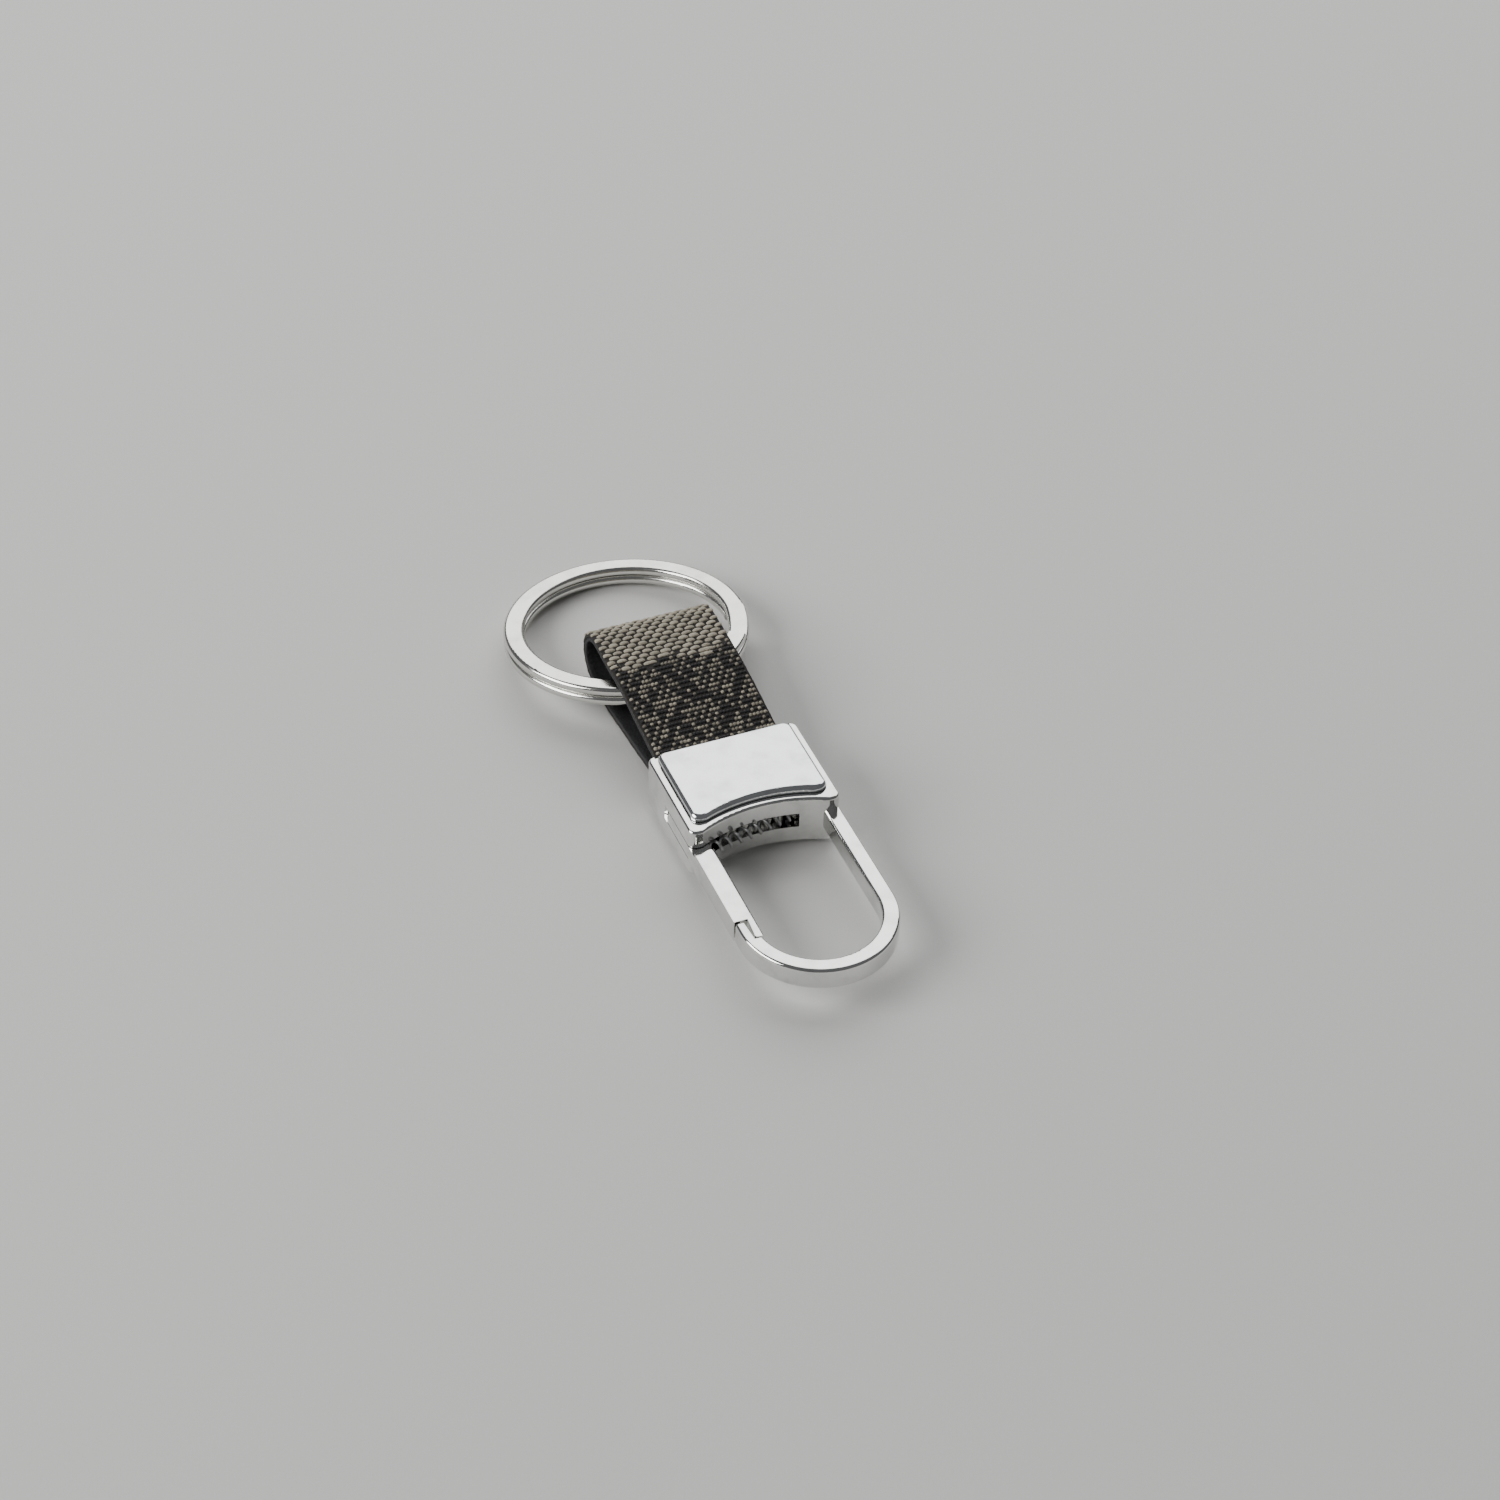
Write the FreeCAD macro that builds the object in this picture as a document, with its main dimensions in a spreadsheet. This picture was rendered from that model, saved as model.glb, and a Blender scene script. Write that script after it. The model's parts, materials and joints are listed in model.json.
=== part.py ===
"""Strap key clip: cast hook with a spring gate, folded canvas strap and split ring.

Frame: millimetres, +Z up. The origin is the centre of the clip's back face, on the surface it
lies on. +Y runs along the strap towards the split ring, +X is across the clip, away from the gate.
"""

import FreeCAD, Part
import Sketcher
import math
import os

NEAR = 1e-4     # millimetres within which two places count as one

# Driving dimensions, millimetres and degrees. Each one is a named cell of the sheet.
SIZES = {
    # clip body
    "clip_wide": 20.0,          # across the body and the hook eye
    "clip_long": 15.0,          # body, front to back
    "rim_thick": 7.1,           # casting, without its cover plates
    "rim_round": 0.4,           # rounding of the casting's rim
    "corner_round": 1.0,        # plan radius of the body's corners
    "cut_past": 1.0,            # run of an open cut past the edge it leaves by
    "arch_land": 0.6,           # flat between the arch and each corner
    "arch_rise": 1.9,           # depth of the arch
    # hook eye
    "eye_reach": 15.9,          # body front to the centre of the round end
    "bar_wide": 2.2,            # hook bar, seen from above
    "bar_thick": 3.1,           # hook bar, top to bottom
    "bar_round": 0.45,          # rounding along the hook bar
    # gate
    "gate_wide": 2.75,
    "gate_setback": 1.3,        # body front to the gate's full section
    "gate_slope": 0.65,         # larger rounding along the gate's inner edges
    "tang_wide": 2.5,
    "tang_thick": 1.9,
    "slot_gap": 0.12,           # tang or spring to each wall of its slot
    "pivot_back": 7.0,          # body front to the pivot
    "pivot_inset": 1.5,         # body side to the pivot
    "pivot_radius": 0.6,
    "pivot_fit": 0.05,
    "gate_swing": 28.0,         # how far the gate opens
    "lap_reach": 1.6,           # half length of the lap at the gate's tip
    "lap_gap": 0.25,
    "lap_lean": 0.25,           # nose narrows and tongue widens by this towards their tips
    "lap_round": 0.3,
    "tip_cut": 0.4,             # cut inner corner of the gate's tip
    "nose_wide": 1.25,          # outer half of the lap, on the hook
    # gate spring
    "coil_radius": 0.93,        # outer radius
    "coil_wire": 0.19,          # wire radius
    "coil_pitch": 1.43,
    "coil_turns": 9.25,
    "coil_angle": 11.6,         # the spring's slant in plan
    "coil_start": 6.7,          # pivot to the spring's end on the tang, along the gate
    "coil_clear": 0.15,
    "seat_deep": 0.8,
    # cover plates
    "cover_inset": 0.9,         # rim left beside the plate
    "cover_proud": 0.9,
    "cover_sink": 0.6,
    "cover_fit": 0.1,
    "cover_round": 0.7,
    "cover_corner": 1.3,
    "cover_lip": 0.4,           # body back edge to the plate
    # strap
    "strap_wide": 16.6,
    "canvas_thick": 0.7,
    "lining_thick": 0.55,
    "glue_gap": 0.02,
    "strap_reach": 27.4,        # body back to the outside of the fold
    "fold_high": 8.5,           # fold, top to bottom
    "fold_lift": 0.12,          # fold's lowest line above the surface
    "strap_clear": 0.15,        # lining above the ring that holds it up
    "sag_run": 6.0,             # length of the strap that lies flat on the surface by the fold
    "socket_deep": 5.2,
    "socket_side": 0.15,
    "socket_gap": 0.1,
    "tab_short": 0.25,          # strap end to the socket's end wall
    "insert_thick": 1.25,
    "insert_gap": 0.06,
    "insert_side": 0.5,
    # rivets
    "rivet_radius": 0.8,
    "rivet_hole": 0.15,         # extra radius of the holes in the strap
    "rivet_fit": 0.03,
    "rivet_head": 1.5,
    "rivet_head_thick": 0.35,
    "rivet_apart": 9.0,
    "rivet_back": 2.6,          # body back to the rivets
    "rivet_clear": 0.2,
    # split ring
    "ring_outer": 16.1,
    "ring_band": 2.75,
    "ring_turn": 1.3,
    "ring_edge": 0.58,
    "ring_gap": 0.05,           # hairline between the two turns
    "ring_step": 24.0,          # angle over which the wire climbs one turn
    "ring_step_at": -32.0,      # where the climb starts
    "ring_end_gap": 2.0,        # angle between each wire end and the climb
    "ring_tilt": 7.9,           # its far side rests, its near side is held up in the strap
    "ring_side": -1.6,          # sideways shift as it lies
    "ring_centre": 28.9,        # body back to the ring's centre
}

# Sizes that follow from the ones above.
DERIVED = {
    "half_wide": "clip_wide / 2",
    "half_long": "clip_long / 2",
    "mid_high": "rim_thick / 2 + cover_proud",
    "half_rim": "rim_thick / 2",
    "eye_centre": "-half_long - eye_reach",
    "arch_half": "half_wide - corner_round - arch_land",
    "arch_radius": "(arch_half ^ 2 + arch_rise ^ 2) / (2 * arch_rise)",
    "arch_centre": "-half_long + arch_rise - arch_radius",
    "bar_middle": "half_wide - bar_wide / 2",
    "pivot_across": "-half_wide + pivot_inset",
    "pivot_along": "-half_long + pivot_back",
    "gate_top": "-half_long - gate_setback",
    "coil_across": "pivot_across - pivot_inset + tang_wide + coil_clear",
    "coil_along": "pivot_along - coil_start",
    "coil_long": "coil_turns * coil_pitch",
    "seat_across": "coil_across + (coil_long + coil_clear - seat_deep) * cos(coil_angle * 1deg)",
    "seat_along": "coil_along + (coil_long + coil_clear - seat_deep) * sin(coil_angle * 1deg)",
    "slot_half": "tang_thick / 2 + slot_gap",
    "stack_half": "canvas_thick + glue_gap + lining_thick + insert_gap + insert_thick / 2",
    "socket_end": "half_long - socket_deep",
    "tab_end": "socket_end + tab_short",
    "fold_radius": "fold_high / 2",
    "fold_centre": "half_long + strap_reach - fold_radius",
    "fold_middle": "fold_lift + fold_radius",
    "rivet_along": "half_long - rivet_back",
    "ring_middle": "ring_outer - ring_band / 2",
    "ring_rise": "ring_turn + ring_gap",
    "ring_thick": "2 * ring_turn + ring_gap",
    "ring_high": "ring_outer * sin(ring_tilt * 1deg) + ring_thick / 2 * cos(ring_tilt * 1deg)",
    "ring_near": "half_long + ring_centre - ring_outer * cos(ring_tilt * 1deg)",
    "layers_thick": "canvas_thick + glue_gap + lining_thick",
    "knee_along": "ring_near + ring_edge",
    "knee_high": "2 * ring_high + strap_clear + layers_thick",
}


def make_sheet(doc):
    """The spreadsheet of driving dimensions, with the sizes that follow from them."""
    sheet = doc.addObject("Spreadsheet::Sheet", "sheet")
    row = 1
    for name, value in SIZES.items():
        sheet.set(f"A{row}", name)
        sheet.set(f"B{row}", str(value))
        sheet.setAlias(f"B{row}", name)
        row += 1
    for name, formula in DERIVED.items():
        sheet.set(f"A{row}", name)
        sheet.set(f"B{row}", "=" + formula)
        sheet.setAlias(f"B{row}", name)
        row += 1
    doc.recompute()
    return sheet


def cells(formula):
    """The formula with each size written as a cell of the sheet."""
    words = []
    word = ""
    for letter in formula + " ":
        if letter.isalnum() or letter == "_":
            word += letter
            continue
        known = word in SIZES or word in DERIVED
        words.append("sheet." + word if known else word)
        words.append(letter)
        word = ""
    return "".join(words).strip()


def number(doc, formula):
    """The value of a formula, as a plain number."""
    value = doc.getObject("sheet").evalExpression(cells(formula))
    return float(getattr(value, "Value", value))


def bind(thing, prop, formula):
    thing.setExpression(prop, cells(formula))


def new_body(doc, name):
    body = doc.addObject("PartDesign::Body", name)
    body.Label = name
    return body


def add_sketch(body, name, plane, lift="0"):
    """A sketch on one of the body's own origin planes, lifted along the plane's normal."""
    sketch = body.newObject("Sketcher::SketchObject", name)
    face = [f for f in body.Origin.OriginFeatures if f.Role == plane][0]
    sketch.AttachmentSupport = [(face, "")]
    sketch.MapMode = "FlatFace"
    bind(sketch, "AttachmentOffset.Base.z", lift)
    return sketch


def pin_point(sketch, index, place, across, along):
    """Holds one point of a sketch at two formulas."""
    doc = sketch.Document
    for kind, formula in (("DistanceX", across), ("DistanceY", along)):
        value = number(doc, formula)
        row = sketch.addConstraint(Sketcher.Constraint(kind, -1, 1, index, place, value))
        bind(sketch, f"Constraints[{row}]", formula)


def draw_path(sketch, steps, closed=True):
    """Draws lines and arcs.

    A step is the end of a line, (x, y), or of an arc, (x, y, cx, cy, turn). A closed path's first
    step ends its last line or arc.
    """
    doc = sketch.Document
    spots = [(number(doc, s[0]), number(doc, s[1])) for s in steps]
    count = len(steps) if closed else len(steps) - 1
    ends = []
    for i in range(count):
        j = (i + 1) % len(steps)
        start = FreeCAD.Vector(*spots[i], 0)
        stop = FreeCAD.Vector(*spots[j], 0)
        if len(steps[j]) == 2:
            index = sketch.addGeometry(Part.LineSegment(start, stop))
            ends.append((index, 1, 2))
            continue
        middle = FreeCAD.Vector(number(doc, steps[j][2]), number(doc, steps[j][3]), 0)
        left = steps[j][4] == "left"
        first, last = (start, stop) if left else (stop, start)
        circle = Part.Circle(middle, FreeCAD.Vector(0, 0, 1), first.distanceToPoint(middle))
        a = math.atan2(first.y - middle.y, first.x - middle.x)
        b = math.atan2(last.y - middle.y, last.x - middle.x)
        index = sketch.addGeometry(Part.ArcOfCircle(circle, a, b if b > a else b + 2 * math.pi))
        ends.append((index, 1, 2) if left else (index, 2, 1))
        wide = abs(stop.x - start.x) > abs(stop.y - start.y)
        kind, formula = ("DistanceY", steps[j][3]) if wide else ("DistanceX", steps[j][2])
        value = number(doc, formula)
        row = sketch.addConstraint(Sketcher.Constraint(kind, -1, 1, index, 3, value))
        bind(sketch, f"Constraints[{row}]", formula)
    for i, (index, head, tail) in enumerate(ends):
        pin_point(sketch, index, head, steps[i][0], steps[i][1])
        if i + 1 < len(ends):
            sketch.addConstraint(Sketcher.Constraint("Coincident", index, tail, ends[i + 1][0], ends[i + 1][1]))
    index, head, tail = ends[-1]
    if closed:
        sketch.addConstraint(Sketcher.Constraint("Coincident", index, tail, ends[0][0], ends[0][1]))
    else:
        pin_point(sketch, index, tail, steps[-1][0], steps[-1][1])


def draw_box(sketch, left, front, right, back):
    draw_path(sketch, [(left, front), (right, front), (right, back), (left, back)])


def draw_round_box(sketch, left, low, right, top, r):
    draw_path(sketch, [
        (f"{left} + {r}", low, f"{left} + {r}", f"{low} + {r}", "left"),
        (f"{right} - {r}", low),
        (right, f"{low} + {r}", f"{right} - {r}", f"{low} + {r}", "left"),
        (right, f"{top} - {r}"),
        (f"{right} - {r}", top, f"{right} - {r}", f"{top} - {r}", "left"),
        (f"{left} + {r}", top),
        (left, f"{top} - {r}", f"{left} + {r}", f"{top} - {r}", "left"),
        (left, f"{low} + {r}"),
    ])


def draw_circle(sketch, across, along, radius):
    doc = sketch.Document
    middle = FreeCAD.Vector(number(doc, across), number(doc, along), 0)
    size = number(doc, radius)
    index = sketch.addGeometry(Part.Circle(middle, FreeCAD.Vector(0, 0, 1), size))
    pin_point(sketch, index, 3, across, along)
    row = sketch.addConstraint(Sketcher.Constraint("Radius", index, size))
    bind(sketch, f"Constraints[{row}]", radius)


def pad(body, name, sketch, length, symmetric=False, reverse=False):
    feature = body.newObject("PartDesign::Pad", name)
    feature.Profile = sketch
    feature.SideType = "Symmetric" if symmetric else "One side"
    feature.Reversed = reverse
    bind(feature, "Length", length)
    body.Tip = feature
    return feature


def pocket(body, name, sketch, depth, symmetric=False, reverse=False):
    """A cut of a sketch, checked to take material away."""
    doc = body.Document
    doc.recompute()
    before = body.Shape.Volume
    feature = body.newObject("PartDesign::Pocket", name)
    feature.Profile = sketch
    feature.SideType = "Symmetric" if symmetric else "One side"
    feature.Reversed = reverse
    bind(feature, "Length", depth)
    body.Tip = feature
    doc.recompute()
    if body.Shape.Volume > before - 1e-6:
        raise RuntimeError(f"{body.Label}: {name} cuts nothing")
    return feature


def soften(body, name, radius, chosen, kind="PartDesign::Fillet"):
    """Fillets or chamfers the edges of the body for which chosen(edge) holds."""
    body.Document.recompute()
    base = body.Tip
    picks = [f"Edge{i + 1}" for i, edge in enumerate(base.Shape.Edges) if chosen(edge)]
    feature = body.newObject(kind, name)
    feature.Base = (base, picks)
    bind(feature, "Size" if kind.endswith("Chamfer") else "Radius", radius)
    body.Tip = feature
    body.Document.recompute()
    return feature


def level(edge, height):
    box = edge.BoundBox
    return abs(box.ZMin - height) < NEAR and abs(box.ZMax - height) < NEAR


def upright(edge):
    box = edge.BoundBox
    return box.ZLength > NEAR and box.XLength < NEAR and box.YLength < NEAR


def body_outline(inset, corner, land, back):
    """Plan of the clip body or of a cover: square at the back, arched along the front.

    land is the short flat between the arch and the rounded corner.
    """
    side = f"half_wide - ({inset})"
    turn = f"{side} - ({corner})"
    foot = f"{turn} - {land}"
    front = f"arch_centre + sqrt((arch_radius + {inset}) ^ 2 - ({foot}) ^ 2)"
    near = f"{front} + {corner}"
    far = f"{back} - ({corner})"
    return [
        (f"-({foot})", front),
        (foot, front, "0", "arch_centre", "right"),
        (turn, front),
        (side, near, turn, near, "left"),
        (side, far),
        (turn, back, turn, far, "left"),
        (f"-({turn})", back),
        (f"-({side})", far, f"-({turn})", far, "left"),
        (f"-({side})", near),
        (f"-({turn})", front, f"-({turn})", near, "left"),
    ]


def hook_block(body):
    """The clip's body block, with its arched front and rounded rim."""
    doc = body.Document
    outline = add_sketch(body, "block_outline", "XY_Plane", "mid_high")
    draw_path(outline, body_outline("0", "corner_round", "arch_land", "half_long"))
    pad(body, "block", outline, "rim_thick", symmetric=True)
    top = number(doc, "mid_high + half_rim")
    low = number(doc, "mid_high - half_rim")
    soften(body, "rim", "rim_round", lambda e: level(e, top) or level(e, low))


def bar_section(sketch, across):
    """Rounded bar section, centred on the mid height."""
    left = f"{across} - bar_wide / 2"
    right = f"{across} + bar_wide / 2"
    low = "mid_high - bar_thick / 2"
    top = "mid_high + bar_thick / 2"
    draw_round_box(sketch, left, low, right, top, "bar_round")


def hook_bar(body):
    """The hook's bar: right arm, round end and nose, swept as one."""
    route = add_sketch(body, "bar_route", "XY_Plane", "mid_high")
    root = "-half_long + corner_round + rim_round"
    draw_path(route, [
        ("bar_middle", root),
        ("bar_middle", "eye_centre"),
        ("-bar_middle", "eye_centre", "0", "eye_centre", "right"),
        ("-bar_middle", "eye_centre + lap_reach"),
    ], closed=False)
    section = add_sketch(body, "bar_section", "XZ_Plane")
    bind(section, "AttachmentOffset.Base.z", f"-({root})")
    bar_section(section, "bar_middle")
    body.Document.recompute()
    bar = body.newObject("PartDesign::AdditivePipe", "bar")
    bar.Profile = section
    bar.Spine = (route, ["Edge1", "Edge2", "Edge3"])
    bar.Transition = "Transformed"
    body.Tip = bar


def gate_cuts(body):
    """The nose's lap, the slot for tang and spring, the spring's seat and the pivot hole."""
    lap = add_sketch(body, "lap_cut", "XY_Plane", "mid_high")
    face = "-half_wide + nose_wide"
    draw_path(lap, [
        (f"{face} - lap_lean", "eye_centre + lap_reach + lap_gap"),
        (face, "eye_centre - lap_reach"),
        ("-half_wide + 2 * gate_wide", "eye_centre - lap_reach - lap_lean"),
        ("-half_wide + 2 * gate_wide", "eye_centre + lap_reach + lap_gap"),
    ])
    pocket(body, "lap", lap, "2 * bar_thick", symmetric=True)
    tip = number(body.Document, "eye_centre + lap_reach")
    soften(body, "nose_tip", "lap_round", lambda e: upright(e) and abs(e.BoundBox.YMax - tip) < NEAR)
    slot = add_sketch(body, "slot_cut", "XY_Plane", "mid_high")
    reach = "pivot_inset + slot_gap"
    channel = "(coil_radius + 3 * coil_clear) / cos(coil_angle * 1deg)"
    draw_path(slot, [
        ("-half_wide - cut_past", "-half_long - cut_past"),
        ("seat_across", "-half_long - cut_past"),
        ("seat_across", f"seat_along + {channel}"),
        ("coil_across + coil_start * sin(gate_swing * 1deg) - coil_clear", f"seat_along + {channel}"),
        (f"pivot_across + {reach}", f"pivot_along + {reach}"),
        ("-half_wide - cut_past", f"pivot_along + {reach}"),
    ])
    pocket(body, "slot", slot, "2 * slot_half", symmetric=True)
    seat = body.newObject("PartDesign::SubtractiveCylinder", "spring_seat")
    bind(seat, "Radius", "coil_radius + coil_clear")
    bind(seat, "Height", "2 * seat_deep")
    bind(seat, "Placement.Base.x", "seat_across - seat_deep * cos(coil_angle * 1deg)")
    bind(seat, "Placement.Base.y", "seat_along - seat_deep * sin(coil_angle * 1deg)")
    bind(seat, "Placement.Base.z", "mid_high")
    angle = math.radians(number(body.Document, "coil_angle"))
    along = FreeCAD.Vector(math.cos(angle), math.sin(angle), 0)
    seat.Placement.Rotation = FreeCAD.Rotation(FreeCAD.Vector(0, 0, 1), along)
    body.Tip = seat


def strap_cuts(body):
    """The socket for the strap, the cover seats, and the holes for pivot and rivets."""
    socket = add_sketch(body, "socket_cut", "XY_Plane", "mid_high")
    side = "strap_wide / 2 + socket_side"
    draw_box(socket, f"-({side})", "socket_end", side, "half_long + cut_past")
    pocket(body, "socket", socket, "2 * (stack_half + socket_gap)", symmetric=True)
    for name, sign, flip in (("front", "+", False), ("back", "-", True)):
        seat = add_sketch(body, f"{name}_seat_cut", "XY_Plane", f"mid_high {sign} half_rim")
        draw_path(seat, body_outline("cover_inset", "cover_corner", "arch_land", "half_long + cover_corner"))
        pocket(body, f"{name}_seat", seat, "cover_sink", reverse=flip)
    holes = add_sketch(body, "hole_cut", "XY_Plane", "mid_high")
    draw_circle(holes, "pivot_across", "pivot_along", "pivot_radius + pivot_fit")
    draw_circle(holes, "-rivet_apart / 2", "rivet_along", "rivet_radius + rivet_fit")
    draw_circle(holes, "rivet_apart / 2", "rivet_along", "rivet_radius + rivet_fit")
    pocket(body, "holes", holes, "2 * rim_thick", symmetric=True)


def hook_frame(doc):
    body = new_body(doc, "hook_frame")
    hook_block(body)
    hook_bar(body)
    gate_cuts(body)
    strap_cuts(body)
    return body


def cover(doc, name, sign):
    """A polished cover plate. sign is + for the front and - for the back."""
    body = new_body(doc, name)
    flip = sign == "-"
    floor = f"mid_high {sign} (half_rim - cover_sink)"
    plate = add_sketch(body, f"{name}_outline", "XY_Plane", floor)
    back = "half_long - cover_lip"
    draw_path(plate, body_outline("cover_inset + cover_fit", "cover_corner - cover_fit", "arch_land", back))
    pad(body, f"{name}_plate", plate, "cover_sink + cover_proud", reverse=flip)
    face = number(doc, f"mid_high {sign} (half_rim + cover_proud)")
    soften(body, f"{name}_edge", "cover_round", lambda e: level(e, face))
    relief = add_sketch(body, f"{name}_relief", "XY_Plane", floor)
    for side in ("-", ""):
        radius = "rivet_head + rivet_clear"
        draw_circle(relief, f"{side}rivet_apart / 2", "rivet_along", radius)
    pocket(body, f"{name}_reliefs", relief, "rivet_head_thick + rivet_clear", reverse=not flip)
    return body


def gate(doc):
    """The spring gate: full bar with its lapped tip, and the thin tang that turns on the pin."""
    body = new_body(doc, "gate")
    outline = add_sketch(body, "gate_outline", "XY_Plane", "mid_high")
    tongue = "-half_wide + nose_wide + lap_gap"
    inner = "-half_wide + gate_wide"
    shoulder = "eye_centre + lap_reach + lap_gap"
    tip = "eye_centre - lap_reach + lap_gap"
    draw_path(outline, [
        ("-half_wide", shoulder),
        (f"{tongue} + lap_lean", shoulder),
        (tongue, tip),
        (f"{inner} - tip_cut", tip),
        (inner, f"{tip} + 1.5 * tip_cut"),
        (inner, "gate_top"),
        ("-half_wide", "gate_top"),
    ])
    pad(body, "gate_bar", outline, "bar_thick", symmetric=True)
    edge = number(doc, tongue)
    side = number(doc, inner)
    top = number(doc, "mid_high + bar_thick / 2")
    low = number(doc, "mid_high - bar_thick / 2")

    def inner_rim(line):
        return (level(line, top) or level(line, low)) and abs(line.BoundBox.XMin - side) < NEAR

    def tongue_corner(line):
        return upright(line) and abs(line.BoundBox.XMin - edge) < NEAR

    soften(body, "gate_slopes", "gate_slope", inner_rim)
    soften(body, "tongue_tip", "lap_round", tongue_corner)
    tang = add_sketch(body, "tang_outline", "XY_Plane", "mid_high")
    draw_path(tang, [
        ("-half_wide", "gate_top - tang_thick"),
        ("-half_wide + tang_wide", "gate_top - tang_thick"),
        ("-half_wide + tang_wide", "pivot_along - tang_wide + pivot_inset"),
        ("pivot_across + pivot_inset", "pivot_along"),
        ("-half_wide", "pivot_along", "pivot_across", "pivot_along", "left"),
    ])
    pad(body, "tang", tang, "tang_thick", symmetric=True)
    hole = add_sketch(body, "pivot_cut", "XY_Plane", "mid_high")
    draw_circle(hole, "pivot_across", "pivot_along", "pivot_radius + pivot_fit")
    pocket(body, "pivot_hole", hole, "2 * tang_thick", symmetric=True)
    return body


def gate_pivot_pin(doc):
    """The upright pin that the gate turns on, its ends flush with the cover seats."""
    pin = doc.addObject("Part::Cylinder", "gate_pivot_pin")
    pin.Label = "gate_pivot_pin"
    bind(pin, "Radius", "pivot_radius")
    bind(pin, "Height", "rim_thick - 2 * cover_sink - 2 * cover_fit")
    bind(pin, "Placement.Base.x", "pivot_across")
    bind(pin, "Placement.Base.y", "pivot_along")
    bind(pin, "Placement.Base.z", "mid_high - half_rim + cover_sink + cover_fit")
    return pin


def gate_spring(doc):
    """The coil spring between the tang and its seat in the body."""
    helix = doc.addObject("Part::Helix", "spring_helix")
    bind(helix, "Pitch", "coil_pitch")
    bind(helix, "Height", "coil_long - 2 * coil_wire")
    bind(helix, "Radius", "coil_radius - coil_wire")
    wire = doc.addObject("Part::Circle", "spring_wire")
    bind(wire, "Radius", "coil_wire")
    bind(wire, "Placement.Base.x", "coil_radius - coil_wire")
    wire.Placement.Rotation = FreeCAD.Rotation(FreeCAD.Vector(1, 0, 0), 90)
    spring = doc.addObject("Part::Sweep", "gate_spring")
    spring.Label = "gate_spring"
    doc.recompute()
    spring.Sections = [wire]
    spring.Spine = (helix, ["Edge1"])
    spring.Solid = True
    spring.Frenet = True
    angle = math.radians(number(doc, "coil_angle"))
    along = FreeCAD.Vector(math.cos(angle), math.sin(angle), 0)
    spring.Placement.Rotation = FreeCAD.Rotation(FreeCAD.Vector(0, 0, 1), along)
    bind(spring, "Placement.Base.x", "coil_across + coil_wire * cos(coil_angle * 1deg)")
    bind(spring, "Placement.Base.y", "coil_along + coil_wire * sin(coil_angle * 1deg)")
    bind(spring, "Placement.Base.z", "mid_high")
    return spring


def strap_layer(doc, name, inset, thick):
    """One layer of the folded strap, a hairpin seen from the side, lifted by the ring.

    inset is how far the layer's outside lies within the strap's outside.
    """
    body = new_body(doc, name)
    side = add_sketch(body, f"{name}_side", "YZ_Plane")
    top = f"mid_high + stack_half - ({inset})"
    low = f"mid_high - stack_half + ({inset})"
    deep = f"{inset} + {thick}"
    mouth = "half_long"
    flat = "fold_centre - sag_run"
    crest = "2 * fold_radius + fold_lift"
    draw_path(side, [
        ("tab_end", top),
        (mouth, top),
        ("knee_along", f"knee_high - ({inset})"),
        ("fold_centre", f"{crest} - ({inset})"),
        ("fold_centre", f"fold_lift + {inset}", "fold_centre", "fold_middle", "right"),
        (flat, f"fold_lift + {inset}"),
        (mouth, low),
        ("tab_end", low),
        ("tab_end", f"{low} + {thick}"),
        (mouth, f"{low} + {thick}"),
        (flat, f"fold_lift + {deep}"),
        ("fold_centre", f"fold_lift + {deep}"),
        ("fold_centre", f"{crest} - ({deep})", "fold_centre", "fold_middle", "left"),
        ("knee_along", f"knee_high - ({deep})"),
        (mouth, f"{top} - {thick}"),
        ("tab_end", f"{top} - {thick}"),
    ])
    pad(body, f"{name}_ribbon", side, "strap_wide", symmetric=True)
    holes = add_sketch(body, f"{name}_holes", "XY_Plane", "mid_high")
    for sign in ("-", ""):
        draw_circle(holes, f"{sign}rivet_apart / 2", "rivet_along", "rivet_radius + rivet_hole")
    pocket(body, f"{name}_rivet_holes", holes, "4 * stack_half", symmetric=True)
    return body


def strap_insert(doc):
    """The stiffener plate between the strap's two ends."""
    body = new_body(doc, "strap_insert")
    plan = add_sketch(body, "insert_plan", "XY_Plane", "mid_high")
    side = "strap_wide / 2 - insert_side"
    draw_box(plan, f"-({side})", "tab_end", side, "half_long - insert_side")
    pad(body, "insert_plate", plan, "insert_thick", symmetric=True)
    holes = add_sketch(body, "insert_holes", "XY_Plane", "mid_high")
    for sign in ("-", ""):
        draw_circle(holes, f"{sign}rivet_apart / 2", "rivet_along", "rivet_radius + rivet_fit")
    pocket(body, "insert_rivet_holes", holes, "2 * insert_thick", symmetric=True)
    return body


def strap_rivet(doc, name, sign):
    """A rivet through the casting and both strap ends, its heads under the covers."""
    body = new_body(doc, name)
    shank = add_sketch(body, f"{name}_shank", "XY_Plane", "mid_high")
    across = f"{sign}rivet_apart / 2"
    draw_circle(shank, across, "rivet_along", "rivet_radius")
    seat = "half_rim - cover_sink"
    pad(body, f"{name}_stem", shank, f"2 * ({seat}) + rivet_head_thick", symmetric=True)
    for end, side, flip in (("top", "+", False), ("low", "-", True)):
        head = add_sketch(body, f"{name}_{end}", "XY_Plane", f"mid_high {side} ({seat})")
        draw_circle(head, across, "rivet_along", "rivet_head")
        pad(body, f"{name}_{end}_head", head, "rivet_head_thick", reverse=flip)
    return body


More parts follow.
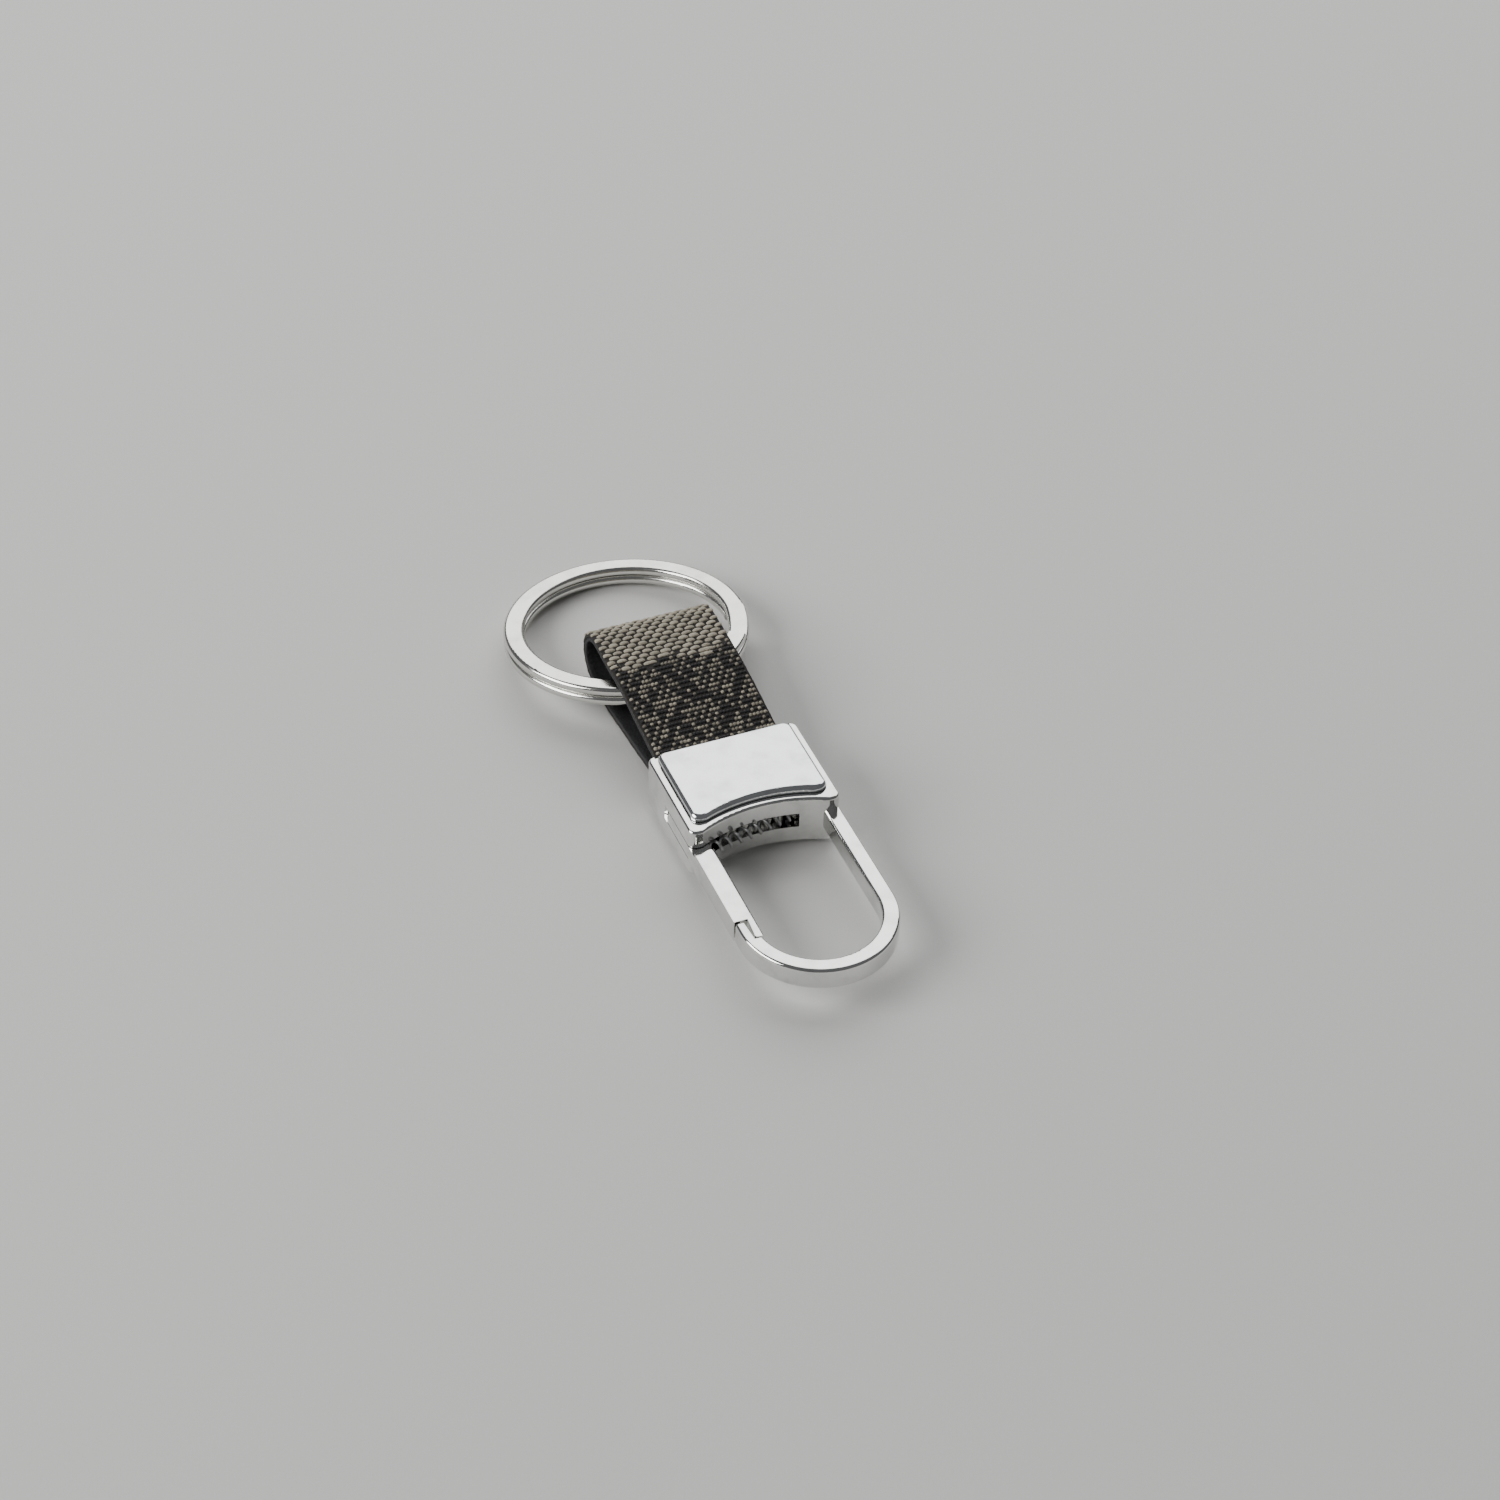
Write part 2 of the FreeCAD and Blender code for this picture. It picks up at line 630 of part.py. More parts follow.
def ring_section(doc, name, lift):
    """Rounded section of the ring's flat wire, in the plane of X and Z."""
    sketch = doc.addObject("Sketcher::SketchObject", name)
    sketch.Placement.Rotation = FreeCAD.Rotation(FreeCAD.Vector(1, 0, 0), 90)
    low = f"{lift} - ring_thick / 2"
    draw_round_box(sketch, "ring_outer - ring_band", low, "ring_outer", f"{low} + ring_turn", "ring_edge")
    return sketch


def split_ring(doc):
    """The split ring: two flat turns of one wire, joined by a short climb."""
    axis = FreeCAD.Vector(0, 0, 1)
    turns = []
    for name, lift, start in (("lower", "0", "ring_end_gap"), ("upper", "ring_rise", "0")):
        section = ring_section(doc, f"{name}_section", lift)
        turn = doc.addObject("Part::Revolution", f"{name}_turn")
        turn.Source = section
        turn.Axis = axis
        turn.Base = FreeCAD.Vector(0, 0, 0)
        turn.Solid = True
        bind(turn, "Angle", "360 - ring_step - ring_end_gap")
        turn.Placement.Rotation = FreeCAD.Rotation(axis, number(doc, start))
        turns.append(turn)
    step = number(doc, "ring_step")
    section = ring_section(doc, "climb_section", "0")
    helix = doc.addObject("Part::Helix", "climb_path")
    bind(helix, "Pitch", "ring_rise * 360 / ring_step")
    bind(helix, "Height", "ring_rise")
    bind(helix, "Radius", "ring_middle")
    climb = doc.addObject("Part::Sweep", "climb")
    doc.recompute()
    climb.Sections = [section]
    climb.Spine = (helix, ["Edge1"])
    climb.Solid = True
    climb.Frenet = True
    climb.Placement.Rotation = FreeCAD.Rotation(axis, -step)
    ring = doc.addObject("Part::MultiFuse", "split_ring")
    ring.Label = "split_ring"
    ring.Shapes = [turns[0], climb, turns[1]]
    turned = FreeCAD.Rotation(axis, number(doc, "ring_step_at + ring_step"))
    tilt = FreeCAD.Rotation(FreeCAD.Vector(1, 0, 0), -number(doc, "ring_tilt"))
    ring.Placement.Rotation = tilt.multiply(turned)
    bind(ring, "Placement.Base.x", "ring_side")
    bind(ring, "Placement.Base.y", "half_long + ring_centre")
    bind(ring, "Placement.Base.z", "ring_high")
    return ring


def build(doc):
    lining_in = "canvas_thick + glue_gap"
    return [
        hook_frame(doc),
        cover(doc, "front_cover", "+"),
        cover(doc, "back_cover", "-"),
        gate(doc),
        gate_pivot_pin(doc),
        gate_spring(doc),
        strap_layer(doc, "strap_canvas", "0", "canvas_thick"),
        strap_layer(doc, "strap_lining", lining_in, "lining_thick"),
        strap_insert(doc),
        strap_rivet(doc, "strap_rivet_left", "-"),
        strap_rivet(doc, "strap_rivet_right", ""),
        split_ring(doc),
    ]


def check(doc, parts):
    """Stops on any failed object, and on a sub-part without one valid solid."""
    for thing in doc.Objects:
        if "Invalid" in thing.State or "Error" in thing.State:
            raise RuntimeError(f"{thing.Label}: {thing.State}")
    for part in parts:
        shape = part.Shape
        if shape.isNull() or not shape.isValid() or len(shape.Solids) != 1:
            raise RuntimeError(f"{part.Label}: bad shape, {len(shape.Solids)} solids")


def main():
    doc = FreeCAD.newDocument("key_clip")
    make_sheet(doc)
    parts = build(doc)
    doc.recompute()
    check(doc, parts)
    os.makedirs("parts", exist_ok=True)
    for part in parts:
        part.Shape.exportStep(f"parts/{part.Label}.step")
        box = part.Shape.BoundBox
        size = f"{box.XMin:.2f} {box.YMin:.2f} {box.ZMin:.2f} {box.XMax:.2f} {box.YMax:.2f} {box.ZMax:.2f}"
        print(part.Label, f"{part.Shape.Volume:.2f} mm3", size)


main()
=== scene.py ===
"""Key organiser: a polished spring-gate clip, a folded woven strap and a split ring."""

import json
import math

import bmesh
import bpy
import numpy as np
from bpy.props import (
    FloatProperty,
    FloatVectorProperty,
    IntProperty,
    PointerProperty,
)
from mathutils import Matrix, Vector


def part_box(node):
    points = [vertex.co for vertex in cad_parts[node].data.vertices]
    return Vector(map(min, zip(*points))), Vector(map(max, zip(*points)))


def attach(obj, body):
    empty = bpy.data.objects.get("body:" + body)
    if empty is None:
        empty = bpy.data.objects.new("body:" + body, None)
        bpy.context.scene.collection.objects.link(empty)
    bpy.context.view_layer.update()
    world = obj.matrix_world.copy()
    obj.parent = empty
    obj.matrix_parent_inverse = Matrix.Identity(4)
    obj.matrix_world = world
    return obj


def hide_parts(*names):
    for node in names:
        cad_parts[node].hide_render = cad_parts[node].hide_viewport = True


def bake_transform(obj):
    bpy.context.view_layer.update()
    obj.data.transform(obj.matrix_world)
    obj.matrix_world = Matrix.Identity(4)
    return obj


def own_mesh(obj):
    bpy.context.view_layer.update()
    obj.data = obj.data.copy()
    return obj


bl_info = {
    "name": "Key organiser",
    "version": (1, 0, 0),
    "blender": (4, 5, 0),
    "location": "3D View > Sidebar > Organiser",
    "description": "Dresses the packed key organiser in metal, cloth and light",
    "category": "Object",
}

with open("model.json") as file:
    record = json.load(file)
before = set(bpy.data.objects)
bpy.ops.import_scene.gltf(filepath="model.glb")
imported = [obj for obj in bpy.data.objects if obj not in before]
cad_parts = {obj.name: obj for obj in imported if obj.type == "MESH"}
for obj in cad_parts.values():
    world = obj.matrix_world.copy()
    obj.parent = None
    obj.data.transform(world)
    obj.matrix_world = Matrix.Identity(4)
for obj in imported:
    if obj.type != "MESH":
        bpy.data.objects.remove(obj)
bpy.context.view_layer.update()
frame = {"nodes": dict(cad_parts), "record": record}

MM = 0.001
CLOTH = "cloth_at"
SHEET = "sheet_at"
OUTWARD = "outward"
TONE = "tone"
SHADE = "shade"
LONG = "long"

# Strap: how finely it is meshed and its edges
BEND_STEP = 0.1 * MM
SHEET_STEP = 0.2 * MM
GROUND_STEP = 0.25 * MM
LINING_STEP = 0.3 * MM
FOLD_POINTS = 40
POINTS_ACROSS = 35
EDGE_EASE = 0.14 * MM
CORNER_CUT = 0.3
EDGE_WAVES = ((1.7 * MM, 0.02 * MM), (0.43 * MM, 0.012 * MM))
EDGE_INSET = 0.02 * MM
SPARE_CLOTH = 1.5 * MM

# Weave: the floats, how often each kind of light speck comes, and where the lattice,
# the plain cloth and the selvedge lie
FLOAT_SEGMENTS = 8
FLOAT_RINGS = 6
FEWEST_FACES = 1000
LONG_FLOAT_EVERY = 3.0
SUNK_SHARE = 0.75
SPECK_SHARE = 0.92
BETWEEN_LESS = 0.68
STRAY_SHARE = 0.07
RIM_SHARE = 0.6
CHANNEL_HALF = 0.15
SELVEDGE_FROM = 0.462
ZIGZAG_SHARE = 0.2
RAGGED = 0.5 * MM
EDGE_CLEAR = 0.12 * MM

# Distances from the middle of the strap, in millimetres, over which its cut edge shows
GROUND_EDGE = (8.22, 8.46)
LINING_EDGE = (8.2, 8.42)

# Spring
COIL_POINTS = 28
WIRE_POINTS = 12
END_ROOM = 0.4

# Stage, in metres, with the camera's right, up and back directions
LIGHT_AIM = (0.0, 5 * MM, 4 * MM)
KEY_PLACE = (0.34, 0.62, 0.62)
KEY_SIZE = (1.2, 0.85)
FILL_PLACE = (-0.95, 0.1, 0.6)
FILL_SIZE = (0.9, 0.6)
FLOOR_RADIUS = 2.5
FLOOR_RINGS = 24
FLOOR_SIDES = 64
FLOOR_DROP = 0.02 * MM
CAMERA_PLACE = (-0.13532, -0.31044, 0.31459)
CAMERA_AXES = (
    (0.92476, -0.37965, 0.0263),
    (0.23478, 0.62354, 0.7457),
    (-0.29951, -0.68342, 0.66576),
)
SENSOR_WIDTH = 36.0
CLIP_NEAR = 0.01
CLIP_FAR = 20.0


# Settings


def length(name, description, default):
    """A size that is edited as a distance, given here in millimetres."""
    return FloatProperty(
        name=name,
        description=description,
        default=default * MM,
        min=0.0,
        precision=5,
        subtype="DISTANCE",
        unit="LENGTH",
    )


def colour(name, description, default):
    return FloatVectorProperty(
        name=name,
        description=description,
        default=default,
        size=3,
        min=0.0,
        max=1.0,
        subtype="COLOR",
    )


def share(name, description, default):
    return FloatProperty(
        name=name,
        description=description,
        default=default,
        min=0.0,
        max=1.0,
        subtype="FACTOR",
    )


class StrapSettings(bpy.types.PropertyGroup):
    """The woven strap and the band glued under it."""

    canvas: length("Canvas", "Thickness of the woven canvas", 0.7)
    lining: length("Lining", "Thickness of the band inside the fold", 0.55)
    glue: length("Glue", "Space that the glue takes between the two layers", 0.02)
    grip: length("Grip", "Space between the lining and the stiffener", 0.06)
    sag_run: length("Flat run", "How far the strap lies flat behind its fold", 6.0)
    softness: length("Softness", "How far the strap's bends are eased", 0.8)
    clear: length("Clear", "Space between the ring and the lining over it", 0.15)
    row: length("Row", "Distance between two rows of yarn", 0.78)
    stitch: length("Stitch", "Distance between two warp yarns", 0.5)
    yarn: length("Yarn", "Width of one float of yarn", 0.64)
    relief: length("Relief", "How far a float stands out of the ground cloth", 0.2)
    plain_from: length("Plain from", "Where the plain end of the cloth starts", 22.6)
    plain_to: length("Plain to", "Where the plain part of the cloth ends", 46.0)
    lattice_across: length("Lattice across", "Width of one lozenge", 7.6)
    lattice_along: length("Lattice along", "Length of one lozenge", 11.0)
    seed: IntProperty(
        name="Seed", description="Picks the scatter of the yarns", default=7, min=0
    )
    light: colour("Light yarn", "Undyed yarn", (0.4, 0.362, 0.285))
    dark: colour("Dark yarn", "Charcoal yarn", (0.018, 0.017, 0.018))
    ground: colour("Ground", "The cloth that shows between floats", (0.012, 0.011, 0.01))
    inside: colour("Lining colour", "The coated band", (0.012, 0.012, 0.013))


class MetalSettings(bpy.types.PropertyGroup):
    """The clip, gate, pins and ring."""

    casting: colour("Casting", "Bright plating of clip and gate", (0.83, 0.83, 0.81))
    plate: colour("Cover plate", "Plating of the cover", (0.82, 0.83, 0.84))
    ring: colour("Ring", "Nickel on the split ring", (0.74, 0.735, 0.70))
    pin: colour("Pin", "Drawn pin steel", (0.56, 0.56, 0.55))
    coil: colour("Spring", "Blued spring wire", (0.42, 0.42, 0.42))
    haze: share("Haze", "How much handling has dulled the bright faces", 0.85)


class SpringSettings(bpy.types.PropertyGroup):
    """The coil that closes the gate."""

    wire: length("Wire", "Radius of the spring wire", 0.19)
    pitch: length("Pitch", "Distance between two turns", 1.43)
    angle: FloatProperty(
        name="Angle",
        description="How far the coil leans from straight across the clip",
        default=math.radians(11.6),
        subtype="ANGLE",
        unit="ROTATION",
    )
    pressed: share("Pressed", "Length left when the gate is open", 0.7)


class StageSettings(bpy.types.PropertyGroup):
    """Floor, lights and camera."""

    floor: colour("Floor", "Colour of the floor", (0.66, 0.655, 0.64))
    room: colour("Room", "Light from all round", (0.12, 0.122, 0.126))
    key: FloatProperty(
        name="Key light",
        description="Strength of the large soft light behind",
        default=8.5,
        min=0.0,
        unit="POWER",
    )
    fill: FloatProperty(
        name="Fill light",
        description="Strength of the soft light at the side",
        default=13.0,
        min=0.0,
        unit="POWER",
    )
    lens: FloatProperty(
        name="Lens",
        description="Focal length of the camera",
        default=88.68,
        min=1.0,
        subtype="DISTANCE_CAMERA",
        unit="CAMERA",
    )


class OrganiserSettings(bpy.types.PropertyGroup):
    """All that can be changed about the look of the organiser."""

    strap: PointerProperty(
        name="Strap", description="Woven strap", type=StrapSettings
    )
    metal: PointerProperty(name="Metal", description="Bright parts", type=MetalSettings)
    spring: PointerProperty(
        name="Spring", description="Gate spring", type=SpringSettings
    )
    stage: PointerProperty(name="Stage", description="Studio", type=StageSettings)


# Nodes


class Field:
    """One output of a node, which takes part in sums as a number does."""

    def __init__(self, board, socket):
        self.board = board
        self.socket = socket

    def sum(self, operation, first, second=0.0):
        settings = {"operation": operation}
        return self.board.node("ShaderNodeMath", settings, {0: first, 1: second})[0]

    def __add__(self, other):
        return self.sum("ADD", self, other)

    def __sub__(self, other):
        return self.sum("SUBTRACT", self, other)

    def __mul__(self, other):
        return self.sum("MULTIPLY", self, other)

    def __truediv__(self, other):
        return self.sum("DIVIDE", self, other)

    def __mod__(self, other):
        return self.sum("FLOORED_MODULO", self, other)

    def __gt__(self, other):
        return self.sum("GREATER_THAN", self, other)

    def __lt__(self, other):
        return self.sum("LESS_THAN", self, other)

    def __abs__(self):
        return self.one("ABSOLUTE")

    def __rsub__(self, other):
        return self.sum("SUBTRACT", other, self)

    __radd__ = __add__
    __rmul__ = __mul__

    def one(self, operation):
        """A sum of this value alone, such as SINE or ROUND."""
        return self.board.node("ShaderNodeMath", {"operation": operation}, {0: self})[0]


class Outputs:
    """A node's outputs, by name or by number."""

    def __init__(self, board, node):
        self.board = board
        self.node = node

    def __getitem__(self, key):
        return Field(self.board, shown(self.node.outputs, key))


def shown(sockets, key):
    """The socket in use that has this name or number."""
    used = [socket for socket in sockets if socket.enabled]
    if isinstance(key, int):
        return used[key]
    return next(socket for socket in used if socket.name == key)


class Board:
    """A node tree, and the one way that nodes are added to it."""

    def __init__(self, tree):
        self.tree = tree

    def node(self, kind, settings=None, values=None):
        """Adds a node: its settings first, then what its sockets hold."""
        node = self.tree.nodes.new(kind)
        for name, value in (settings or {}).items():
            setattr(node, name, value)
        for key, value in (values or {}).items():
            socket = shown(node.inputs, key)
            if isinstance(value, Field):
                self.tree.links.new(value.socket, socket)
            else:
                socket.default_value = value
        return Outputs(self, node)

    def vector(self, x, y, z):
        return self.node("ShaderNodeCombineXYZ", None, {"X": x, "Y": y, "Z": z})[0]

    def parts(self, vector):
        split = self.node("ShaderNodeSeparateXYZ", None, {"Vector": vector})
        return split["X"], split["Y"], split["Z"]

    def scaled(self, vector, factor):
        settings = {"operation": "SCALE"}
        values = {"Vector": vector, "Scale": factor}
        return self.node("ShaderNodeVectorMath", settings, values)["Vector"]

    def moved(self, vector, by):
        return self.node("ShaderNodeVectorMath", None, {0: vector, 1: by})["Vector"]


class Finish(Board):
    """A material and the patterns that it is made of."""

    def __init__(self, name):
        self.material = bpy.data.materials.new(name)
        self.material.use_nodes = True
        super().__init__(self.material.node_tree)
        self.tree.nodes.clear()

    def place(self):
        """Where a point is on the object, in millimetres."""
        return self.scaled(self.node("ShaderNodeTexCoord")["Object"], 1 / MM)

    def cloth(self):
        """Where a point is on the cloth as it was woven flat, in millimetres."""
        spot = self.node("ShaderNodeAttribute", {"attribute_name": CLOTH})["Vector"]
        return self.scaled(spot, 1 / MM)

    def value(self, name):
        return self.node("ShaderNodeAttribute", {"attribute_name": name})["Fac"]

    def drawn(self, vector, scale, turn=(0.0, 0.0, 0.0)):
        """A pattern's own space, stretched and turned."""
        values = {"Vector": vector, "Scale": scale, "Rotation": turn}
        return self.node("ShaderNodeMapping", None, values)["Vector"]

    def noise(self, vector, scale, detail=2.0, roughness=0.5):
        values = {
            "Vector": vector,
            "Scale": scale,
            "Detail": detail,
            "Roughness": roughness,
        }
        return self.node("ShaderNodeTexNoise", None, values)["Fac"]

    def cells(self, vector, scale, feature="F1"):
        values = {"Vector": vector, "Scale": scale}
        return self.node("ShaderNodeTexVoronoi", {"feature": feature}, values)

    def step(self, value, low, high):
        """0 below low, 1 above high, smooth between them."""
        settings = {"interpolation_type": "SMOOTHSTEP"}
        values = {"Value": value, "From Min": low, "From Max": high}
        return self.node("ShaderNodeMapRange", settings, values)["Result"]

    def mixed(self, part, first, second):
        """A colour part of the way from the first to the second."""
        values = {"Factor": part, "A": first, "B": second}
        return self.node("ShaderNodeMix", {"data_type": "RGBA"}, values)["Result"]

    def toned(self, paint, strength):
        """A colour made lighter or darker by a number."""
        grey = self.vector(strength, strength, strength)
        settings = {"data_type": "RGBA", "blend_type": "MULTIPLY"}
        values = {"Factor": 1.0, "A": paint, "B": grey}
        return self.node("ShaderNodeMix", settings, values)["Result"]

    def scratches(self, at, scale, turn, fine=0.006):
        """Hairline scratches that run one way and fade in and out."""
        lines = self.noise(self.drawn(at, scale, turn), 1.0, 2.0)
        worn = self.step(self.noise(at, 0.45, 3.0), 0.5, 0.66)
        return (1 - self.step(abs(lines - 0.5), 0.0, fine)) * worn

    def relief(self, height, depth, under=None):
        """A surface that stands out by depth where height is 1."""
        values = {"Height": height, "Distance": depth * MM, "Strength": 1.0}
        if under is not None:
            values["Normal"] = under
        return self.node("ShaderNodeBump", None, values)["Normal"]

    def surface(self, **values):
        """The shader itself, with its sockets' names written with underscores."""
        sockets = {key.replace("_", " "): value for key, value in values.items()}
        shader = self.node("ShaderNodeBsdfPrincipled", None, sockets)["BSDF"]
        self.node("ShaderNodeOutputMaterial", None, {"Surface": shader})
        return self.material


# Finishes


def opaque(paint, strength=1.0):
    """A paint as a shader takes it, lighter or darker by a factor."""
    return (*[strength * part for part in paint], 1.0)


def bright_metal(name, paint, haze, smooth, dull, marks=None):
    """Polished plating worn by handling. marks gives the wear of one piece's own."""
    finish = Finish(name)
    at = finish.place()
    cloud = finish.noise(at, 0.32, 5.0, 0.62)
    prints = finish.step(cloud, 0.42, 0.72)
    grain = finish.noise(at, 9.0, 3.0)
    across = finish.scratches(at, (0.25, 7.0, 7.0), (0.2, 0.1, 0.5))
    along = finish.scratches(at, (6.0, 0.3, 6.0), (0.1, 0.3, -0.35))
    worn = across * 0.6 + along * 0.5
    if marks:
        worn = worn + marks(finish, at)
    swell = finish.noise(at, 0.42, 1.0)
    under = finish.relief(swell, 0.012)
    under = finish.relief(grain, 0.0006, under)
    normal = finish.relief(1 - worn, 0.0016, under)
    rough = smooth + prints * (0.6 * dull * haze) + worn * 0.12 + grain * 0.015
    dulled = prints * 0.75 * haze + worn * 0.25
    dimmed = finish.mixed(dulled, opaque(paint), opaque(paint, 0.72))
    return finish.surface(
        Base_Color=dimmed, Metallic=1.0, Roughness=rough, Normal=normal
    )


def casting_marks(finish, at):
    """Tiny dents and pits left by keys."""
    cells = finish.cells(at, 0.3)
    return (1 - finish.step(cells["Distance"], 0.008, 0.024)) * 0.3


def plate_marks(finish, at):
    """Faint circles rubbed into the cover, and one small nick."""
    spot = finish.moved(at, (-1.8, 1.2, 0.0))
    x, y, _ = finish.parts(spot)
    reach = (x * x + y * y * 1.7).one("SQRT")
    wobble = finish.noise(at, 0.8, 2.0) * 0.8
    rings = finish.step(((reach + wobble) * 12.0).one("SINE"), 0.35, 0.95)
    patch = (1 - finish.step(reach, 1.2, 3.4)) * finish.step(
        finish.noise(at, 0.9, 3.0), 0.4, 0.6
    )
    nick_x, nick_y, _ = finish.parts(finish.moved(at, (-2.7, 4.3, 0.0)))
    away = (nick_x * nick_x * 0.4 + nick_y * nick_y * 3.0).one("SQRT")
    return rings * patch * 0.9 + (1 - finish.step(away, 0.08, 0.16)) * 2.0


def turned_metal(name, paint, centre, tilt, smooth, dull):
    """Metal drawn or turned round an axis, so its fine lines run in circles."""
    finish = Finish(name)
    at = finish.place()
    local = finish.moved(at, tuple(-part / MM for part in centre))
    local = finish.drawn(local, (1.0, 1.0, 1.0), (tilt, 0.0, 0.0))
    x, y, z = finish.parts(local)
    reach = (x * x + y * y).one("SQRT")
    turn = finish.node("ShaderNodeMath", {"operation": "ARCTAN2"}, {0: y, 1: x})[0]
    lines = finish.noise(finish.vector(reach * 9.0, z * 9.0, turn * 1.5), 1.0, 3.0)
    cloud = finish.step(finish.noise(at, 0.3, 4.0, 0.6), 0.4, 0.7)
    nicks = finish.step(
        finish.noise(finish.vector(reach * 5.0, z * 5.0, turn * 14.0), 1.0, 2.0),
        0.68,
        0.8,
    )
    normal = finish.relief(lines, 0.003)
    normal = finish.relief(1 - nicks, 0.003, normal)
    rough = smooth + lines * 0.09 + cloud * dull + nicks * 0.12
    dulled = cloud * 0.5 + lines * 0.2
    tinted = finish.mixed(dulled, opaque(paint), opaque(paint, 0.84))
    return finish.surface(
        Base_Color=tinted, Metallic=1.0, Roughness=rough, Normal=normal
    )


def yarn_finish(strap):
    """Twisted yarn, light or dark from float to float, with painted shade in the grooves of
    its twist.
    """
    finish = Finish("yarn")
    at = finish.cloth()
    x, along, _ = finish.parts(at)
    twist_relief_and_shade = ((x + along * 2.2) * 13.0).one("SINE") * 0.5 + 0.5
    fibre = finish.noise(finish.drawn(at, (3.0, 16.0, 16.0)), 1.0, 4.0, 0.65)
    tone = finish.value(TONE)
    shade = finish.value(SHADE)
    base = finish.mixed(tone, opaque(strap.dark), opaque(strap.light))
    soiled = finish.noise(at, 0.22, 3.0)
    # The yarn is painted lighter on the ridges of its twist and darker in its grooves:
    # painted shade between the plies.
    strength = shade * 0.5 + fibre * 0.55 + twist_relief_and_shade * 0.12 + soiled * 0.35 + 0.1
    normal = finish.relief(twist_relief_and_shade, 0.035)
    normal = finish.relief(fibre, 0.03, normal)
    return finish.surface(
        Base_Color=finish.toned(base, strength),
        Roughness=0.78 + fibre * 0.18,
        Normal=normal,
        Sheen_Weight=0.12,
        Sheen_Roughness=0.5,
        Specular_IOR_Level=0.25,
    )


def ground_finish(strap):
    """The dark ribbed cloth under the floats, paler along its cut edges."""
    finish = Finish("ground_cloth")
    at = finish.cloth()
    x, along, _ = finish.parts(at)
    ribs = (x * (2 * math.pi / 0.36)).one("SINE") * 0.5 + 0.5
    rows = (along * (2 * math.pi * MM / strap.row)).one("SINE") * 0.5 + 0.5
    fibre = finish.noise(finish.drawn(at, (14.0, 6.0, 14.0)), 1.0, 4.0, 0.6)
    edge = finish.step(abs(x), *GROUND_EDGE)
    frayed = finish.step(finish.noise(at, 2.6, 2.0), 0.42, 0.6)
    bare = finish.mixed(fibre, opaque(strap.ground), opaque(strap.ground, 2.6))
    cut = finish.toned(opaque(strap.light), fibre * 0.5 + 0.12)
    base = finish.mixed(edge * frayed * 0.8, bare, cut)
    normal = finish.relief(ribs * 0.6 + rows * 0.5, 0.05)
    normal = finish.relief(fibre, 0.04, normal)
    return finish.surface(
        Base_Color=base,
        Roughness=0.82 + fibre * 0.14,
        Normal=normal,
        Sheen_Weight=0.08,
        Specular_IOR_Level=0.2,
    )


def lining_finish(strap):
    """A coated band with a fine pebbled grain and paler cut edges."""
    finish = Finish("coated_lining")
    at = finish.cloth()
    x, _, _ = finish.parts(at)
    pebble = finish.cells(finish.drawn(at, (1.0, 0.85, 1.0)), 2.6)["Distance"]
    fine = finish.noise(at, 9.0, 3.0)
    crease = finish.step(finish.noise(finish.drawn(at, (0.3, 2.2, 1.0)), 1.0), 0.5, 0.7)
    edge = finish.step(abs(x), *LINING_EDGE)
    grey = opaque(strap.inside, 3.0)
    base = finish.mixed(fine * 0.5 + edge * 0.5, opaque(strap.inside), grey)
    normal = finish.relief(pebble, 0.05)
    normal = finish.relief(fine, 0.012, normal)
    normal = finish.relief(1 - crease, 0.03, normal)
    return finish.surface(
        Base_Color=base,
        Roughness=0.5 + pebble * 0.12 + fine * 0.14,
        Normal=normal,
        Specular_IOR_Level=0.4,
    )


def moulded_finish():
    """Black moulded plastic with a spark-eroded grain."""
    finish = Finish("moulded_black")
    at = finish.place()
    grain = finish.noise(at, 5.5, 5.0, 0.6)
    cloud = finish.noise(at, 0.4, 2.0)
    base = finish.mixed(cloud, (0.012, 0.012, 0.012, 1.0), (0.026, 0.026, 0.028, 1.0))
    return finish.surface(
        Base_Color=base,
        Roughness=0.42 + grain * 0.22,
        Normal=finish.relief(grain, 0.02),
        Specular_IOR_Level=0.45,
    )


def floor_finish(stage):
    """Pale matt board with a faint tooth."""
    finish = Finish("pale_board")
    at = finish.place()
    cloud = finish.noise(at, 0.006, 3.0)
    tooth = finish.noise(at, 1.6, 4.0, 0.6)
    pale = opaque(stage.floor)
    base = finish.mixed(cloud * 0.5 + tooth * 0.3, pale, opaque(stage.floor, 0.9))
    return finish.surface(
        Base_Color=base,
        Roughness=0.62 + tooth * 0.1,
        Normal=finish.relief(tooth, 0.02),
        Specular_IOR_Level=0.3,
    )


def coat(node, material):
    """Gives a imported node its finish."""
    for slot in frame["nodes"][node].material_slots:
        slot.material = material


# Strap


def eased(points, spread):
    """A line of evenly spaced points with its corners softened, ends kept."""
    step = np.linalg.norm(points[1] - points[0])
    reach = int(math.ceil(3 * spread / step))
    weights = np.exp(-0.5 * (np.arange(-reach, reach + 1) * step / spread) ** 2)
    weights /= weights.sum()
    first = 2 * points[0] - points[reach:0:-1]
    last = 2 * points[-1] - points[-2 : -reach - 2 : -1]
    padded = np.vstack([first, points, last])
    columns = [np.convolve(padded[:, axis], weights, "valid") for axis in (0, 1)]
    return np.column_stack(columns)


def even(points, step):
    """The same line at an even spacing near step."""
    gaps = np.linalg.norm(np.diff(points, axis=0), axis=1)
    run = np.concatenate([[0.0], np.cumsum(gaps)])
    at = np.linspace(0.0, run[-1], max(2, int(round(run[-1] / step)) + 1))
    return np.column_stack([np.interp(at, run, points[:, axis]) for axis in (0, 1)])


